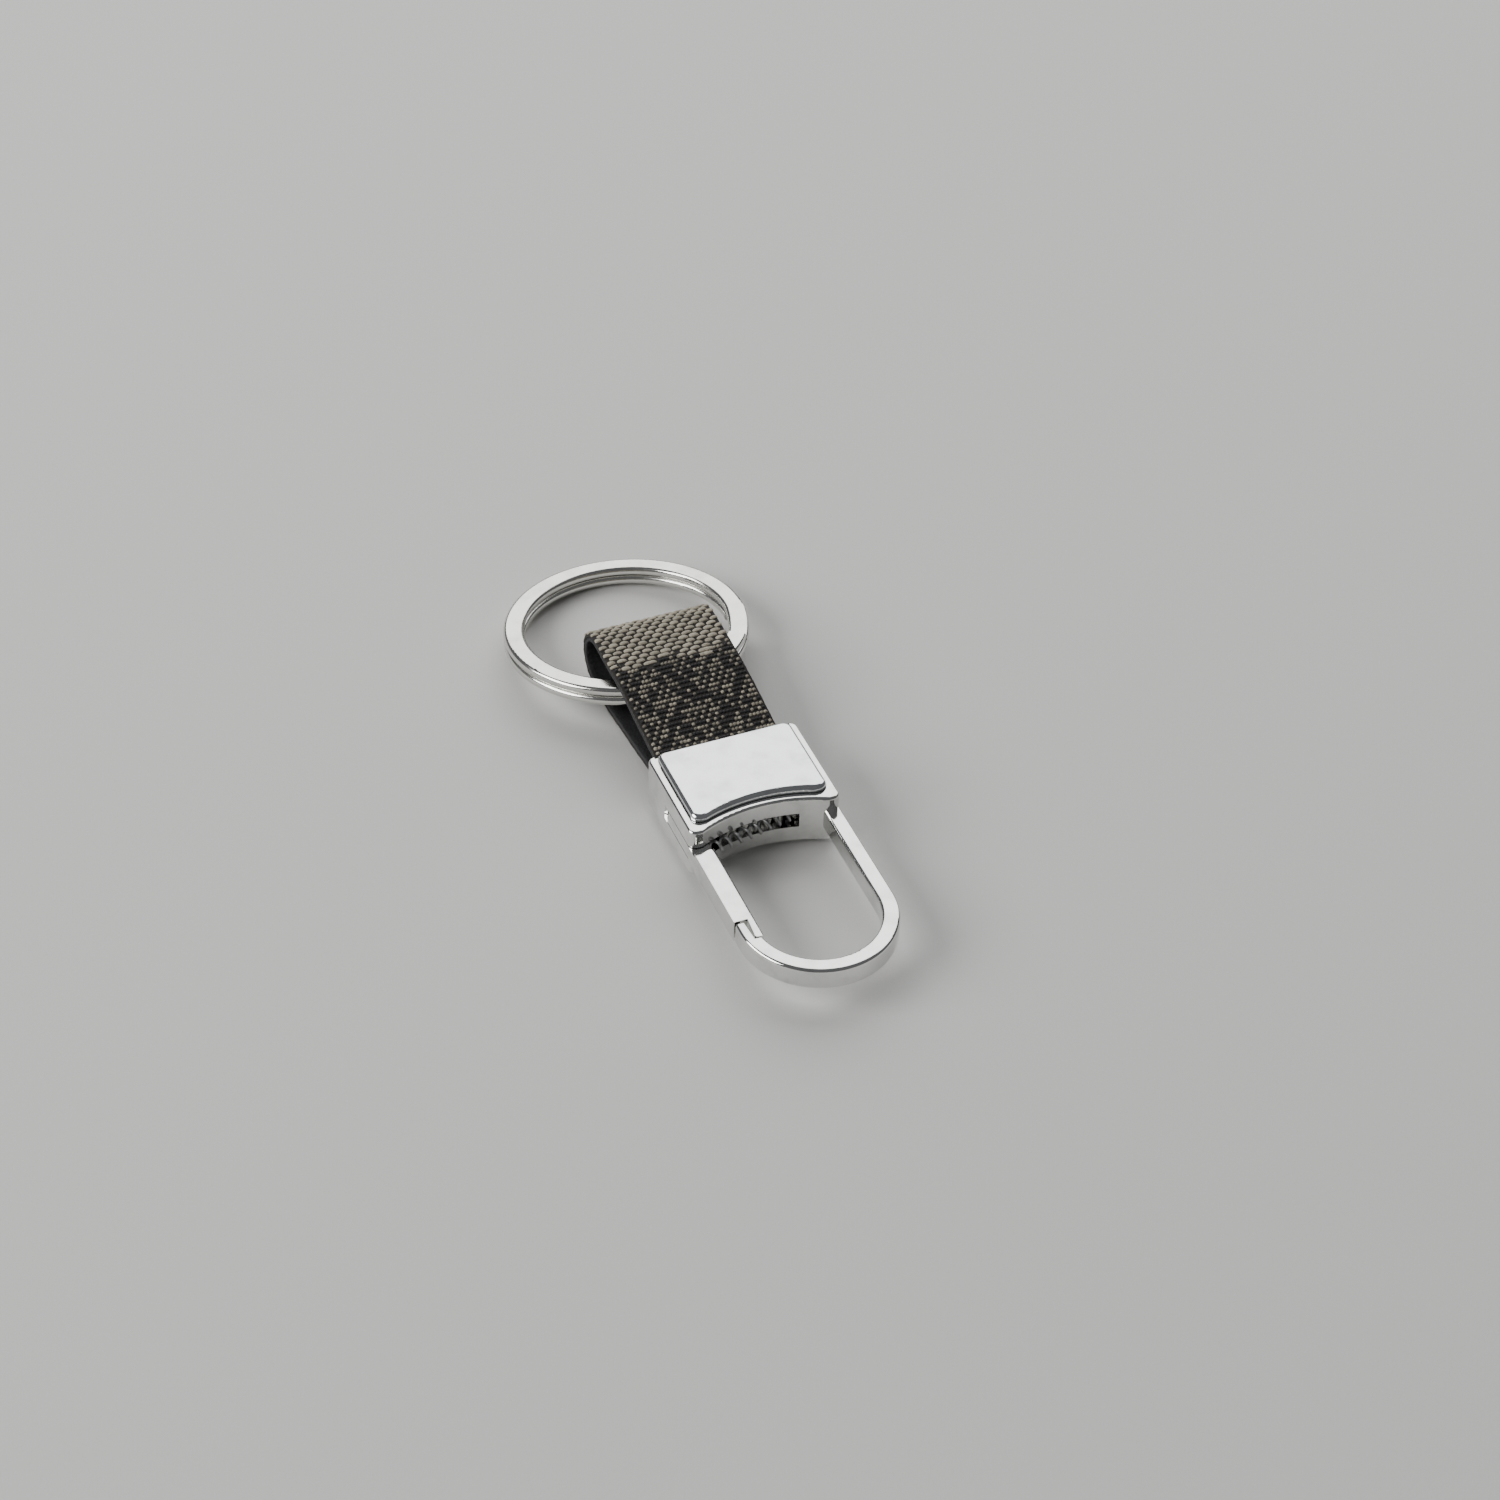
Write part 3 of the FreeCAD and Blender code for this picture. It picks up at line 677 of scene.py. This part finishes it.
def strap_line(strap):
    """The strap's outer face seen from the side, as (y, z), from clip to clip."""
    low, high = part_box("strap_canvas")
    insert_low, insert_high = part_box("strap_insert")
    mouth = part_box("hook_frame")[1].y
    layers = strap.lining + strap.glue + strap.canvas
    ring_low, ring_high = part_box("split_ring")
    knee = (ring_low.y + strap.softness, ring_high.z + strap.clear + layers)
    radius = (high.z - low.z) / 2
    turn = np.linspace(math.pi / 2, -math.pi / 2, FOLD_POINTS)
    fold = [
        (high.y - radius + radius * math.cos(t), low.z + radius + radius * math.sin(t))
        for t in turn
    ]
    corners = [
        (low.y, insert_high.z + strap.grip + layers),
        (mouth, insert_high.z + strap.grip + layers),
        knee,
        *fold,
        (high.y - radius - strap.sag_run, low.z),
        (mouth, insert_low.z - strap.grip - layers),
        (low.y, insert_low.z - strap.grip - layers),
    ]
    fine = even(np.array(corners), BEND_STEP)
    return eased(fine, strap.softness)


def stations(line, step):
    """Even places along a line: distance from its start, place and outward side."""
    places = even(line, step)
    ahead = np.gradient(places, axis=0)
    ahead /= np.linalg.norm(ahead, axis=1)[:, None]
    outward = np.column_stack([-ahead[:, 1], ahead[:, 0]])
    gaps = np.linalg.norm(np.diff(places, axis=0), axis=1)
    return np.concatenate([[0.0], np.cumsum(gaps)]), places, outward


def put_vectors(mesh, name, vectors):
    attribute = mesh.attributes.new(name, "FLOAT_VECTOR", "POINT")
    attribute.data.foreach_set("vector", np.asarray(vectors, np.float32).ravel())


def new_object(name, mesh):
    piece = bpy.data.objects.new(name, mesh)
    bpy.context.scene.collection.objects.link(piece)
    return piece


def band(name, line, top, under, half_wide, step):
    """A closed ribbon between two depths under a line, with soft, slightly wavy edges."""
    run, places, outward = stations(line, step)
    ease = min(EDGE_EASE, (top - under) / 3)
    cut = CORNER_CUT * ease
    across = np.linspace(-half_wide + ease, half_wide - ease, POINTS_ACROSS)
    upper = [(x, top) for x in across]
    right = [
        (half_wide - cut, top - cut),
        (half_wide, top - ease),
        (half_wide, under + ease),
        (half_wide - cut, under + cut),
    ]
    lower = [(x, under) for x in across[::-1]]
    left = [(-x, depth) for x, depth in right[::-1]]
    section = np.array(upper + right + lower + left)
    wavy = sum(np.sin(run / every) * height for every, height in EDGE_WAVES)
    vertices, flat = [], []
    for at, place, side, wave in zip(run, places, outward, wavy):
        for x, depth in section:
            edge = x * (1 + wave / half_wide) - EDGE_INSET * np.sign(x)
            y, z = place + side * depth
            vertices.append((edge, y, z))
            flat.append((x, at, depth))
    around = len(section)
    faces = []
    for row in range(len(run) - 1):
        for column in range(around):
            after = (column + 1) % around
            here, there = row * around, (row + 1) * around
            faces.append(
                (here + column, here + after, there + after, there + column)
            )
    faces.append(tuple(range(around)))
    faces.append(tuple(range((len(run) - 1) * around, len(run) * around))[::-1])
    mesh = bpy.data.meshes.new(name)
    mesh.from_pydata(vertices, [], faces)
    put_vectors(mesh, CLOTH, flat)
    shaped = bmesh.new()
    shaped.from_mesh(mesh)
    bmesh.ops.recalc_face_normals(shaped, faces=shaped.faces)
    shaped.to_mesh(mesh)
    shaped.free()
    mesh.shade_smooth()
    return new_object(name, mesh)


def weaving_sheet(line, half_wide, spare):
    """A thin sheet on the strap's outer face, mapped flat, for yarns to follow."""
    run, places, outward = stations(line, SHEET_STEP)
    start = places[0] - (places[1] - places[0]) / run[1] * spare
    stop = places[-1] + (places[-1] - places[-2]) / run[1] * spare
    run = np.concatenate([[-spare], run, [run[-1] + spare]])
    places = np.vstack([start, places, stop])
    outward = np.vstack([outward[0], outward, outward[-1]])
    sides = (-half_wide - spare, 0.0, half_wide + spare)
    vertices = [(x, y, z) for y, z in places for x in sides]
    faces = [
        (3 * row + side, 3 * row + side + 1, 3 * row + side + 4, 3 * row + side + 3)
        for row in range(len(run) - 1)
        for side in (0, 1)
    ]
    mesh = bpy.data.meshes.new("weaving_sheet")
    mesh.from_pydata(vertices, [], faces)
    put_vectors(mesh, OUTWARD, [(0.0, y, z) for y, z in outward for _ in sides])
    flat = np.array([(x, at) for at in run for x in sides])
    least, most = flat.min(0), flat.max(0)
    layer = mesh.uv_layers.new(name=SHEET)
    for loop in mesh.loops:
        layer.data[loop.index].uv = (flat[loop.vertex_index] - least) / (most - least)
    return new_object("weaving_sheet", mesh), least, most


def number_input(tree, name, value, distance=True):
    """A named number that the tree takes in."""
    socket = tree.interface.new_socket(
        name, in_out="INPUT", socket_type="NodeSocketFloat"
    )
    if distance:
        socket.subtype = "DISTANCE"
    socket.default_value = value
    return socket.identifier


def new_tree(name):
    tree = bpy.data.node_groups.new(name, "GeometryNodeTree")
    tree.interface.new_socket(
        "Geometry", in_out="INPUT", socket_type="NodeSocketGeometry"
    )
    tree.interface.new_socket(
        "Geometry", in_out="OUTPUT", socket_type="NodeSocketGeometry"
    )
    return tree


def solid_result(board, geometry, material):
    """Ends a tree: real mesh, smooth, with its material."""
    real = board.node("GeometryNodeRealizeInstances", None, {"Geometry": geometry})
    smooth = board.node(
        "GeometryNodeSetShadeSmooth", None, {"Geometry": real["Geometry"]}
    )
    painted = board.node(
        "GeometryNodeSetMaterial",
        None,
        {"Geometry": smooth["Geometry"], "Material": material},
    )
    board.node("NodeGroupOutput", None, {"Geometry": painted["Geometry"]})


def build(name, host, tree, inputs, material):
    """Runs a tree on a host object and gives the plain mesh that it makes."""
    modifier = host.modifiers.new(name, "NODES")
    modifier.node_group = tree
    for identifier, value in inputs.items():
        modifier[identifier] = value
    bpy.context.view_layer.update()
    graph = bpy.context.evaluated_depsgraph_get()
    mesh = bpy.data.meshes.new_from_object(
        host.evaluated_get(graph), preserve_all_data_layers=True, depsgraph=graph
    )
    host.modifiers.remove(modifier)
    spent = host.data
    bpy.data.objects.remove(host)
    bpy.data.meshes.remove(spent)
    mesh.name = name
    mesh.materials.clear()
    mesh.materials.append(material)
    return new_object(name, mesh)


def triangle_wave(value, period):
    """0 at every whole period and 1 half-way between."""
    return abs((value / period + 0.5) % 1.0 - 0.5) * 2.0


def weaving_tree(least, most, material):
    """Lays floats of yarn on a flat cloth, then wraps the cloth on its host sheet."""
    tree = new_tree("weave")
    sizes = {
        name: number_input(tree, name, 0.001)
        for name in (
            "Row",
            "Stitch",
            "Yarn",
            "Relief",
            "Width",
            "Length",
            "Plain From",
            "Plain To",
            "Lattice Across",
            "Lattice Along",
        )
    }
    sizes["Seed"] = number_input(tree, "Seed", 0.0, distance=False)
    board = Board(tree)
    given = board.node("NodeGroupInput")
    columns = (given["Width"] / given["Stitch"]).one("FLOOR")
    rows = (given["Length"] / given["Row"]).one("FLOOR")
    grid = board.node(
        "GeometryNodeMeshGrid",
        None,
        {
            "Size X": (columns - 1) * given["Stitch"],
            "Size Y": (rows - 1) * given["Row"],
            "Vertices X": columns,
            "Vertices Y": rows,
        },
    )
    laid = board.node(
        "GeometryNodeSetPosition",
        None,
        {
            "Geometry": grid["Mesh"],
            "Offset": board.vector(0.0, given["Length"] / 2, 0.0),
        },
    )
    x, along, _ = board.parts(board.node("GeometryNodeInputPosition")["Position"])
    column = (x / given["Stitch"] + 0.25).one("ROUND")
    odd_row = (along / given["Row"] + 0.25).one("ROUND") % 2.0 > 0.5

    def scatter(low, high, offset):
        values = {"Min": low, "Max": high, "Seed": given["Seed"] * 10.0 + offset}
        return board.node("FunctionNodeRandomValue", None, values)["Value"]

    def either(first, second):
        settings = {"operation": "MAXIMUM"}
        return board.node("ShaderNodeMath", settings, {0: first, 1: second})[0]

    across = triangle_wave(x, given["Lattice Across"])
    ragged = across * given["Lattice Along"] * ZIGZAG_SHARE + scatter(-RAGGED, RAGGED, 1)
    plain = (along > given["Plain From"] - ragged) * (along < given["Plain To"] + ragged)
    sideways = given["Stitch"] * (odd_row - 0.5) * (plain * 0.5 + 1.0)
    off_cloth = abs(x + sideways) > given["Width"] / 2 - EDGE_CLEAR
    skipped = either(plain * (column % LONG_FLOAT_EVERY > 0.5), off_cloth)
    kept = board.node(
        "GeometryNodeDeleteGeometry",
        {"domain": "POINT"},
        {"Geometry": laid["Geometry"], "Selection": skipped},
    )["Geometry"]

    lozenge = across + triangle_wave(along, given["Lattice Along"])
    channel = abs(lozenge - 1.0) < CHANNEL_HALF
    between = column % 2.0 > 0.5
    speck = (1 - channel) * (scatter(0.0, 1.0, 2) < SPECK_SHARE - between * BETWEEN_LESS)
    stray = scatter(0.0, 1.0, 3) < STRAY_SHARE
    selvedge = abs(x) > given["Width"] * SELVEDGE_FROM
    rim = selvedge * (scatter(0.0, 1.0, 4) < RIM_SHARE)
    speckled = either(either(speck, stray), rim) * scatter(0.4, 0.95, 12)
    for name, value in (
        (TONE, either(plain, speckled)),
        (SHADE, scatter(0.35, 1.0, 5)),
        (LONG, plain),
    ):
        kept = board.node(
            "GeometryNodeStoreNamedAttribute",
            {"data_type": "FLOAT", "domain": "POINT"},
            {"Geometry": kept, "Name": name, "Value": value},
        )["Geometry"]
    kept = board.node(
        "GeometryNodeSetPosition",
        None,
        {"Geometry": kept, "Offset": board.vector(sideways, 0.0, 0.0)},
    )["Geometry"]

    facets = {"Segments": FLOAT_SEGMENTS, "Rings": FLOAT_RINGS}
    ball = board.node("GeometryNodeMeshUVSphere", None, facets)
    lying = board.node(
        "GeometryNodeTransform",
        None,
        {"Geometry": ball["Mesh"], "Rotation": (0.0, math.pi / 2, 0.0)},
    )
    px, py, pz = board.parts(board.node("GeometryNodeInputPosition")["Position"])
    full = 1.0 - px * px * 0.45
    float_shape = board.node(
        "GeometryNodeSetPosition",
        None,
        {
            "Geometry": lying["Geometry"],
            "Position": board.vector(px, py * (2.0 - full) * 0.9, pz - px * px * 0.55),
        },
    )
    long = board.node("GeometryNodeInputNamedAttribute", None, {"Name": LONG})["Attribute"]
    size = board.vector(
        given["Stitch"] * (long * 0.8 + 0.56) * scatter(0.9, 1.1, 6),
        given["Yarn"] * (long * 0.17 + 0.41) * scatter(0.86, 1.08, 7),
        given["Relief"] * scatter(0.85, 1.15, 8),
    )
    tilt = board.vector(
        scatter(-0.12, 0.12, 9), scatter(-0.06, 0.06, 10), scatter(-0.09, 0.09, 11)
    )
    placed = board.node(
        "GeometryNodeInstanceOnPoints",
        None,
        {
            "Points": kept,
            "Instance": float_shape["Geometry"],
            "Rotation": tilt,
            "Scale": size,
        },
    )
    flat = board.node(
        "GeometryNodeRealizeInstances", None, {"Geometry": placed["Instances"]}
    )["Geometry"]
    spot = board.node("GeometryNodeInputPosition")["Position"]
    half = given["Width"] / 2
    fx, fy, fz = board.parts(spot)
    limits = {"Value": fx, "Min": 0.0 - half, "Max": half}
    held = board.node("ShaderNodeClamp", None, limits)["Result"]
    flat = board.node(
        "GeometryNodeSetPosition",
        None,
        {"Geometry": flat, "Position": board.vector(held, fy, fz)},
    )["Geometry"]
    flat = board.node(
        "GeometryNodeStoreNamedAttribute",
        {"data_type": "FLOAT_VECTOR", "domain": "POINT"},
        {"Geometry": flat, "Name": CLOTH, "Value": spot},
    )["Geometry"]
    span = most - least
    wrapped_x, wrapped_y, height = board.parts(spot)
    on_sheet = board.vector(
        (wrapped_x - float(least[0])) / float(span[0]),
        (wrapped_y - float(least[1])) / float(span[1]),
        0.0,
    )
    named = {"data_type": "FLOAT_VECTOR"}
    sheet_map = board.node("GeometryNodeInputNamedAttribute", named, {"Name": SHEET})
    outward = board.node("GeometryNodeInputNamedAttribute", named, {"Name": OUTWARD})

    def sampled(value):
        values = {
            "Mesh": given["Geometry"],
            "Value": value,
            "UV Map": sheet_map["Attribute"],
            "Sample UV": on_sheet,
        }
        return board.node("GeometryNodeSampleUVSurface", named, values)["Value"]

    base = sampled(spot)
    sunk = height - given["Relief"] * SUNK_SHARE
    lift = board.scaled(sampled(outward["Attribute"]), sunk)
    wrapped = board.node(
        "GeometryNodeSetPosition",
        None,
        {"Geometry": flat, "Position": board.moved(base, lift)},
    )["Geometry"]
    solid_result(board, wrapped, material)
    return tree, sizes


class ORGANISER_OT_weave_strap(bpy.types.Operator):
    """Weave the folded canvas strap: a ground cloth and the floats of yarn on it"""

    bl_idname = "organiser.weave_strap"
    bl_label = "Weave strap"

    def execute(self, context):
        strap = context.scene.organiser.strap
        line = strap_line(strap)
        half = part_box("strap_canvas")[1].x
        ground = band(
            "strap_ground", line, -strap.relief, -strap.canvas, half, GROUND_STEP
        )
        ground.data.materials.append(ground_finish(strap))
        sheet, least, most = weaving_sheet(line, half, SPARE_CLOTH)
        run = stations(line, SHEET_STEP)[0][-1]
        material = yarn_finish(strap)
        tree, sizes = weaving_tree(least, most, material)
        values = {
            "Row": strap.row,
            "Stitch": strap.stitch,
            "Yarn": strap.yarn,
            "Relief": strap.relief,
            "Width": 2 * half,
            "Length": run,
            "Plain From": strap.plain_from,
            "Plain To": strap.plain_to,
            "Lattice Across": strap.lattice_across,
            "Lattice Along": strap.lattice_along,
            "Seed": float(strap.seed),
        }
        inputs = {sizes[name]: value for name, value in values.items()}
        yarns = build("strap_yarns", sheet, tree, inputs, material)
        if len(yarns.data.polygons) < FEWEST_FACES:
            raise RuntimeError("the strap has no yarns")
        bend_strap(ground)
        bend_strap(yarns)
        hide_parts("strap_canvas")
        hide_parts("strap_canvas")
        return {"FINISHED"}


def bend_strap(piece):
    """Bakes a strap piece's placement into its mesh."""
    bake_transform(piece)


class ORGANISER_OT_line_strap(bpy.types.Operator):
    """Glue the coated band inside the fold of the strap"""

    bl_idname = "organiser.line_strap"
    bl_label = "Line strap"

    def execute(self, context):
        strap = context.scene.organiser.strap
        top = -strap.canvas - strap.glue
        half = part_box("strap_lining")[1].x
        lining = band(
            "strap_lining_band",
            strap_line(strap),
            top,
            top - strap.lining,
            half,
            LINING_STEP,
        )
        lining.data.materials.append(lining_finish(strap))
        bend_strap(lining)
        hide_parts("strap_lining")
        return {"FINISHED"}


# Metal parts


def spring_tree(material):
    """A coil along X from the origin, with its wire closed at both ends."""
    tree = new_tree("coil")
    names = ("Coil Radius", "Wire Radius", "Reach", "Turns")
    sizes = {
        name: number_input(tree, name, 0.001, name != "Turns") for name in names
    }
    board = Board(tree)
    given = board.node("NodeGroupInput")
    coil = board.node(
        "GeometryNodeCurveSpiral",
        None,
        {
            "Resolution": COIL_POINTS,
            "Rotations": given["Turns"],
            "Start Radius": given["Coil Radius"],
            "End Radius": given["Coil Radius"],
            "Height": given["Reach"],
            "Reverse": True,
        },
    )
    wire = board.node(
        "GeometryNodeCurvePrimitiveCircle",
        None,
        {"Resolution": WIRE_POINTS, "Radius": given["Wire Radius"]},
    )
    swept = board.node(
        "GeometryNodeCurveToMesh",
        None,
        {"Curve": coil["Curve"], "Profile Curve": wire["Curve"], "Fill Caps": True},
    )
    turned = board.node(
        "GeometryNodeTransform",
        None,
        {"Geometry": swept["Mesh"], "Rotation": (0.0, math.pi / 2, 0.0)},
    )
    solid_result(board, turned["Geometry"], material)
    return tree, sizes


class ORGANISER_OT_wind_spring(bpy.types.Operator):
    """Wind the coil that presses the gate shut"""

    bl_idname = "organiser.wind_spring"
    bl_label = "Wind spring"

    def execute(self, context):
        spring = context.scene.organiser.spring
        paint = context.scene.organiser.metal.coil
        low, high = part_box("gate_spring")
        centre = (low + high) / 2
        radius = (high.z - low.z) / 2
        lean = Vector((math.cos(spring.angle), math.sin(spring.angle), 0.0))
        reach = (high.x - low.x - 2 * radius * math.sin(spring.angle)) / lean.x
        reach -= END_ROOM * spring.wire
        material = turned_metal("spring_wire", paint, centre, 0.0, 0.32, 0.12)
        tree, sizes = spring_tree(material)
        values = {
            "Coil Radius": radius - spring.wire,
            "Wire Radius": spring.wire,
            "Reach": reach,
            "Turns": reach / spring.pitch,
        }
        inputs = {sizes[name]: value for name, value in values.items()}
        host = new_object("coil_host", bpy.data.meshes.new("coil_host"))
        coil = build("gate_spring_coil", host, tree, inputs, material)
        if not coil.data.polygons:
            raise RuntimeError("the spring has no wire")
        start = centre - lean * (reach / 2)
        turn = Matrix.Rotation(spring.angle, 4, "Z")
        coil.data.transform(Matrix.Translation(start) @ turn)
        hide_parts("gate_spring")
        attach(coil, "clip")
        seat = centre + lean * (reach / 2)
        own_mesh(coil)
        return {"FINISHED"}


class ORGANISER_OT_finish_clip(bpy.types.Operator):
    """Polish the clip, its two covers and the gate"""

    bl_idname = "organiser.finish_clip"
    bl_label = "Finish clip"

    def execute(self, context):
        metal = context.scene.organiser.metal
        casting = bright_metal(
            "polished_plating", metal.casting, metal.haze, 0.045, 0.1, casting_marks
        )
        plate = bright_metal(
            "cover_plating", metal.plate, metal.haze, 0.1, 0.16, plate_marks
        )
        coat("hook_frame", casting)
        coat("gate", casting)
        coat("front_cover", plate)
        coat("back_cover", plate)
        return {"FINISHED"}


class ORGANISER_OT_finish_pins(bpy.types.Operator):
    """Finish the pivot pin, the strap rivets and the stiffener between them"""

    bl_idname = "organiser.finish_pins"
    bl_label = "Finish pins and stiffener"

    def execute(self, context):
        paint = context.scene.organiser.metal.pin
        for node in ("gate_pivot_pin", "strap_rivet_left", "strap_rivet_right"):
            low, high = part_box(node)
            centre = (low + high) / 2
            coat(node, turned_metal(f"{node}_steel", paint, centre, 0.0, 0.16, 0.1))
        coat("strap_insert", moulded_finish())
        return {"FINISHED"}


class ORGANISER_OT_finish_ring(bpy.types.Operator):
    """Give the split ring its drawn nickel finish"""

    bl_idname = "organiser.finish_ring"
    bl_label = "Finish ring"

    def execute(self, context):
        paint = context.scene.organiser.metal.ring
        low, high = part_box("split_ring")
        centre = (low + high) / 2
        mounts = {mount["name"]: mount for mount in frame["record"]["mounts"]}
        _, axis_y, axis_z = mounts["key_ring"]["axis"]
        tilt = math.atan2(axis_y, axis_z)
        coat("split_ring", turned_metal("ring_nickel", paint, centre, tilt, 0.09, 0.1))
        return {"FINISHED"}


# Stage


def floor_mesh(radius):
    """A flat round board, finer near its middle."""
    shaped = bmesh.new()
    rings = [radius * ((step + 1) / FLOOR_RINGS) ** 2 for step in range(FLOOR_RINGS)]
    turns = [2 * math.pi * side / FLOOR_SIDES for side in range(FLOOR_SIDES)]
    middle = shaped.verts.new((0.0, 0.0, 0.0))
    inner = None
    for reach in rings:
        ring = [
            shaped.verts.new((reach * math.cos(turn), reach * math.sin(turn), 0.0))
            for turn in turns
        ]
        for side in range(FLOOR_SIDES):
            after = (side + 1) % FLOOR_SIDES
            if inner is None:
                shaped.faces.new((middle, ring[side], ring[after]))
            else:
                shaped.faces.new((inner[side], ring[side], ring[after], inner[after]))
        inner = ring
    mesh = bpy.data.meshes.new("floor")
    shaped.to_mesh(mesh)
    shaped.free()
    return mesh


def soft_light(name, place, size, power):
    """A large rectangular light that faces the clip."""
    light = bpy.data.lights.new(name, "AREA")
    light.shape = "RECTANGLE"
    light.size, light.size_y = size
    light.energy = power
    lamp = new_object(name, light)
    lamp.location = place
    facing = Vector(place) - Vector(LIGHT_AIM)
    lamp.rotation_euler = facing.to_track_quat("Z", "Y").to_euler()
    lamp.visible_camera = False


class ORGANISER_OT_set_stage(bpy.types.Operator):
    """Set the floor, the studio lights and the camera"""

    bl_idname = "organiser.set_stage"
    bl_label = "Set stage"

    def execute(self, context):
        stage = context.scene.organiser.stage
        floor = new_object("floor", floor_mesh(FLOOR_RADIUS))
        floor.data.transform(Matrix.Translation((0.0, 0.0, -FLOOR_DROP)))
        floor.data.materials.append(floor_finish(stage))
        soft_light("key_light", KEY_PLACE, KEY_SIZE, stage.key)
        soft_light("fill_light", FILL_PLACE, FILL_SIZE, stage.fill)
        world = bpy.data.worlds.new("room")
        world.use_nodes = True
        background = world.node_tree.nodes["Background"]
        background.inputs["Color"].default_value = opaque(stage.room)
        background.inputs["Strength"].default_value = 1.0
        context.scene.world = world
        camera = bpy.data.cameras.new("camera")
        camera.lens = stage.lens
        camera.sensor_width = SENSOR_WIDTH
        camera.clip_start = CLIP_NEAR
        camera.clip_end = CLIP_FAR
        stand = new_object("camera", camera)
        turn = Matrix(CAMERA_AXES).transposed().to_4x4()
        stand.matrix_world = Matrix.Translation(CAMERA_PLACE) @ turn
        context.scene.camera = stand
        return {"FINISHED"}


# Panel and start


OPERATORS = (
    ORGANISER_OT_weave_strap,
    ORGANISER_OT_line_strap,
    ORGANISER_OT_wind_spring,
    ORGANISER_OT_finish_clip,
    ORGANISER_OT_finish_pins,
    ORGANISER_OT_finish_ring,
    ORGANISER_OT_set_stage,
)


class ORGANISER_PT_panel(bpy.types.Panel):
    """Sizes, colours and the steps that dress the organiser"""

    bl_idname = "ORGANISER_PT_panel"
    bl_label = "Key organiser"
    bl_space_type = "VIEW_3D"
    bl_region_type = "UI"
    bl_category = "Organiser"

    def draw(self, context):
        settings = context.scene.organiser
        for name in ("strap", "metal", "spring", "stage"):
            group = getattr(settings, name)
            box = self.layout.box()
            box.label(text=name.capitalize())
            for key in group.__annotations__:
                box.prop(group, key)
        for operator in OPERATORS:
            self.layout.operator(operator.bl_idname)


CLASSES = (
    StrapSettings,
    MetalSettings,
    SpringSettings,
    StageSettings,
    OrganiserSettings,
    *OPERATORS,
    ORGANISER_PT_panel,
)


def register():
    for made in CLASSES:
        bpy.utils.register_class(made)
    bpy.types.Scene.organiser = PointerProperty(
        name="Organiser",
        description="Look of the key organiser",
        type=OrganiserSettings,
    )


def unregister():
    del bpy.types.Scene.organiser
    for made in reversed(CLASSES):
        bpy.utils.unregister_class(made)


def main():
    register()
    bpy.ops.organiser.weave_strap()
    bpy.ops.organiser.line_strap()
    bpy.ops.organiser.wind_spring()
    bpy.ops.organiser.finish_clip()
    bpy.ops.organiser.finish_pins()
    bpy.ops.organiser.finish_ring()
    bpy.ops.organiser.set_stage()


if __name__ == "__main__":
    main()
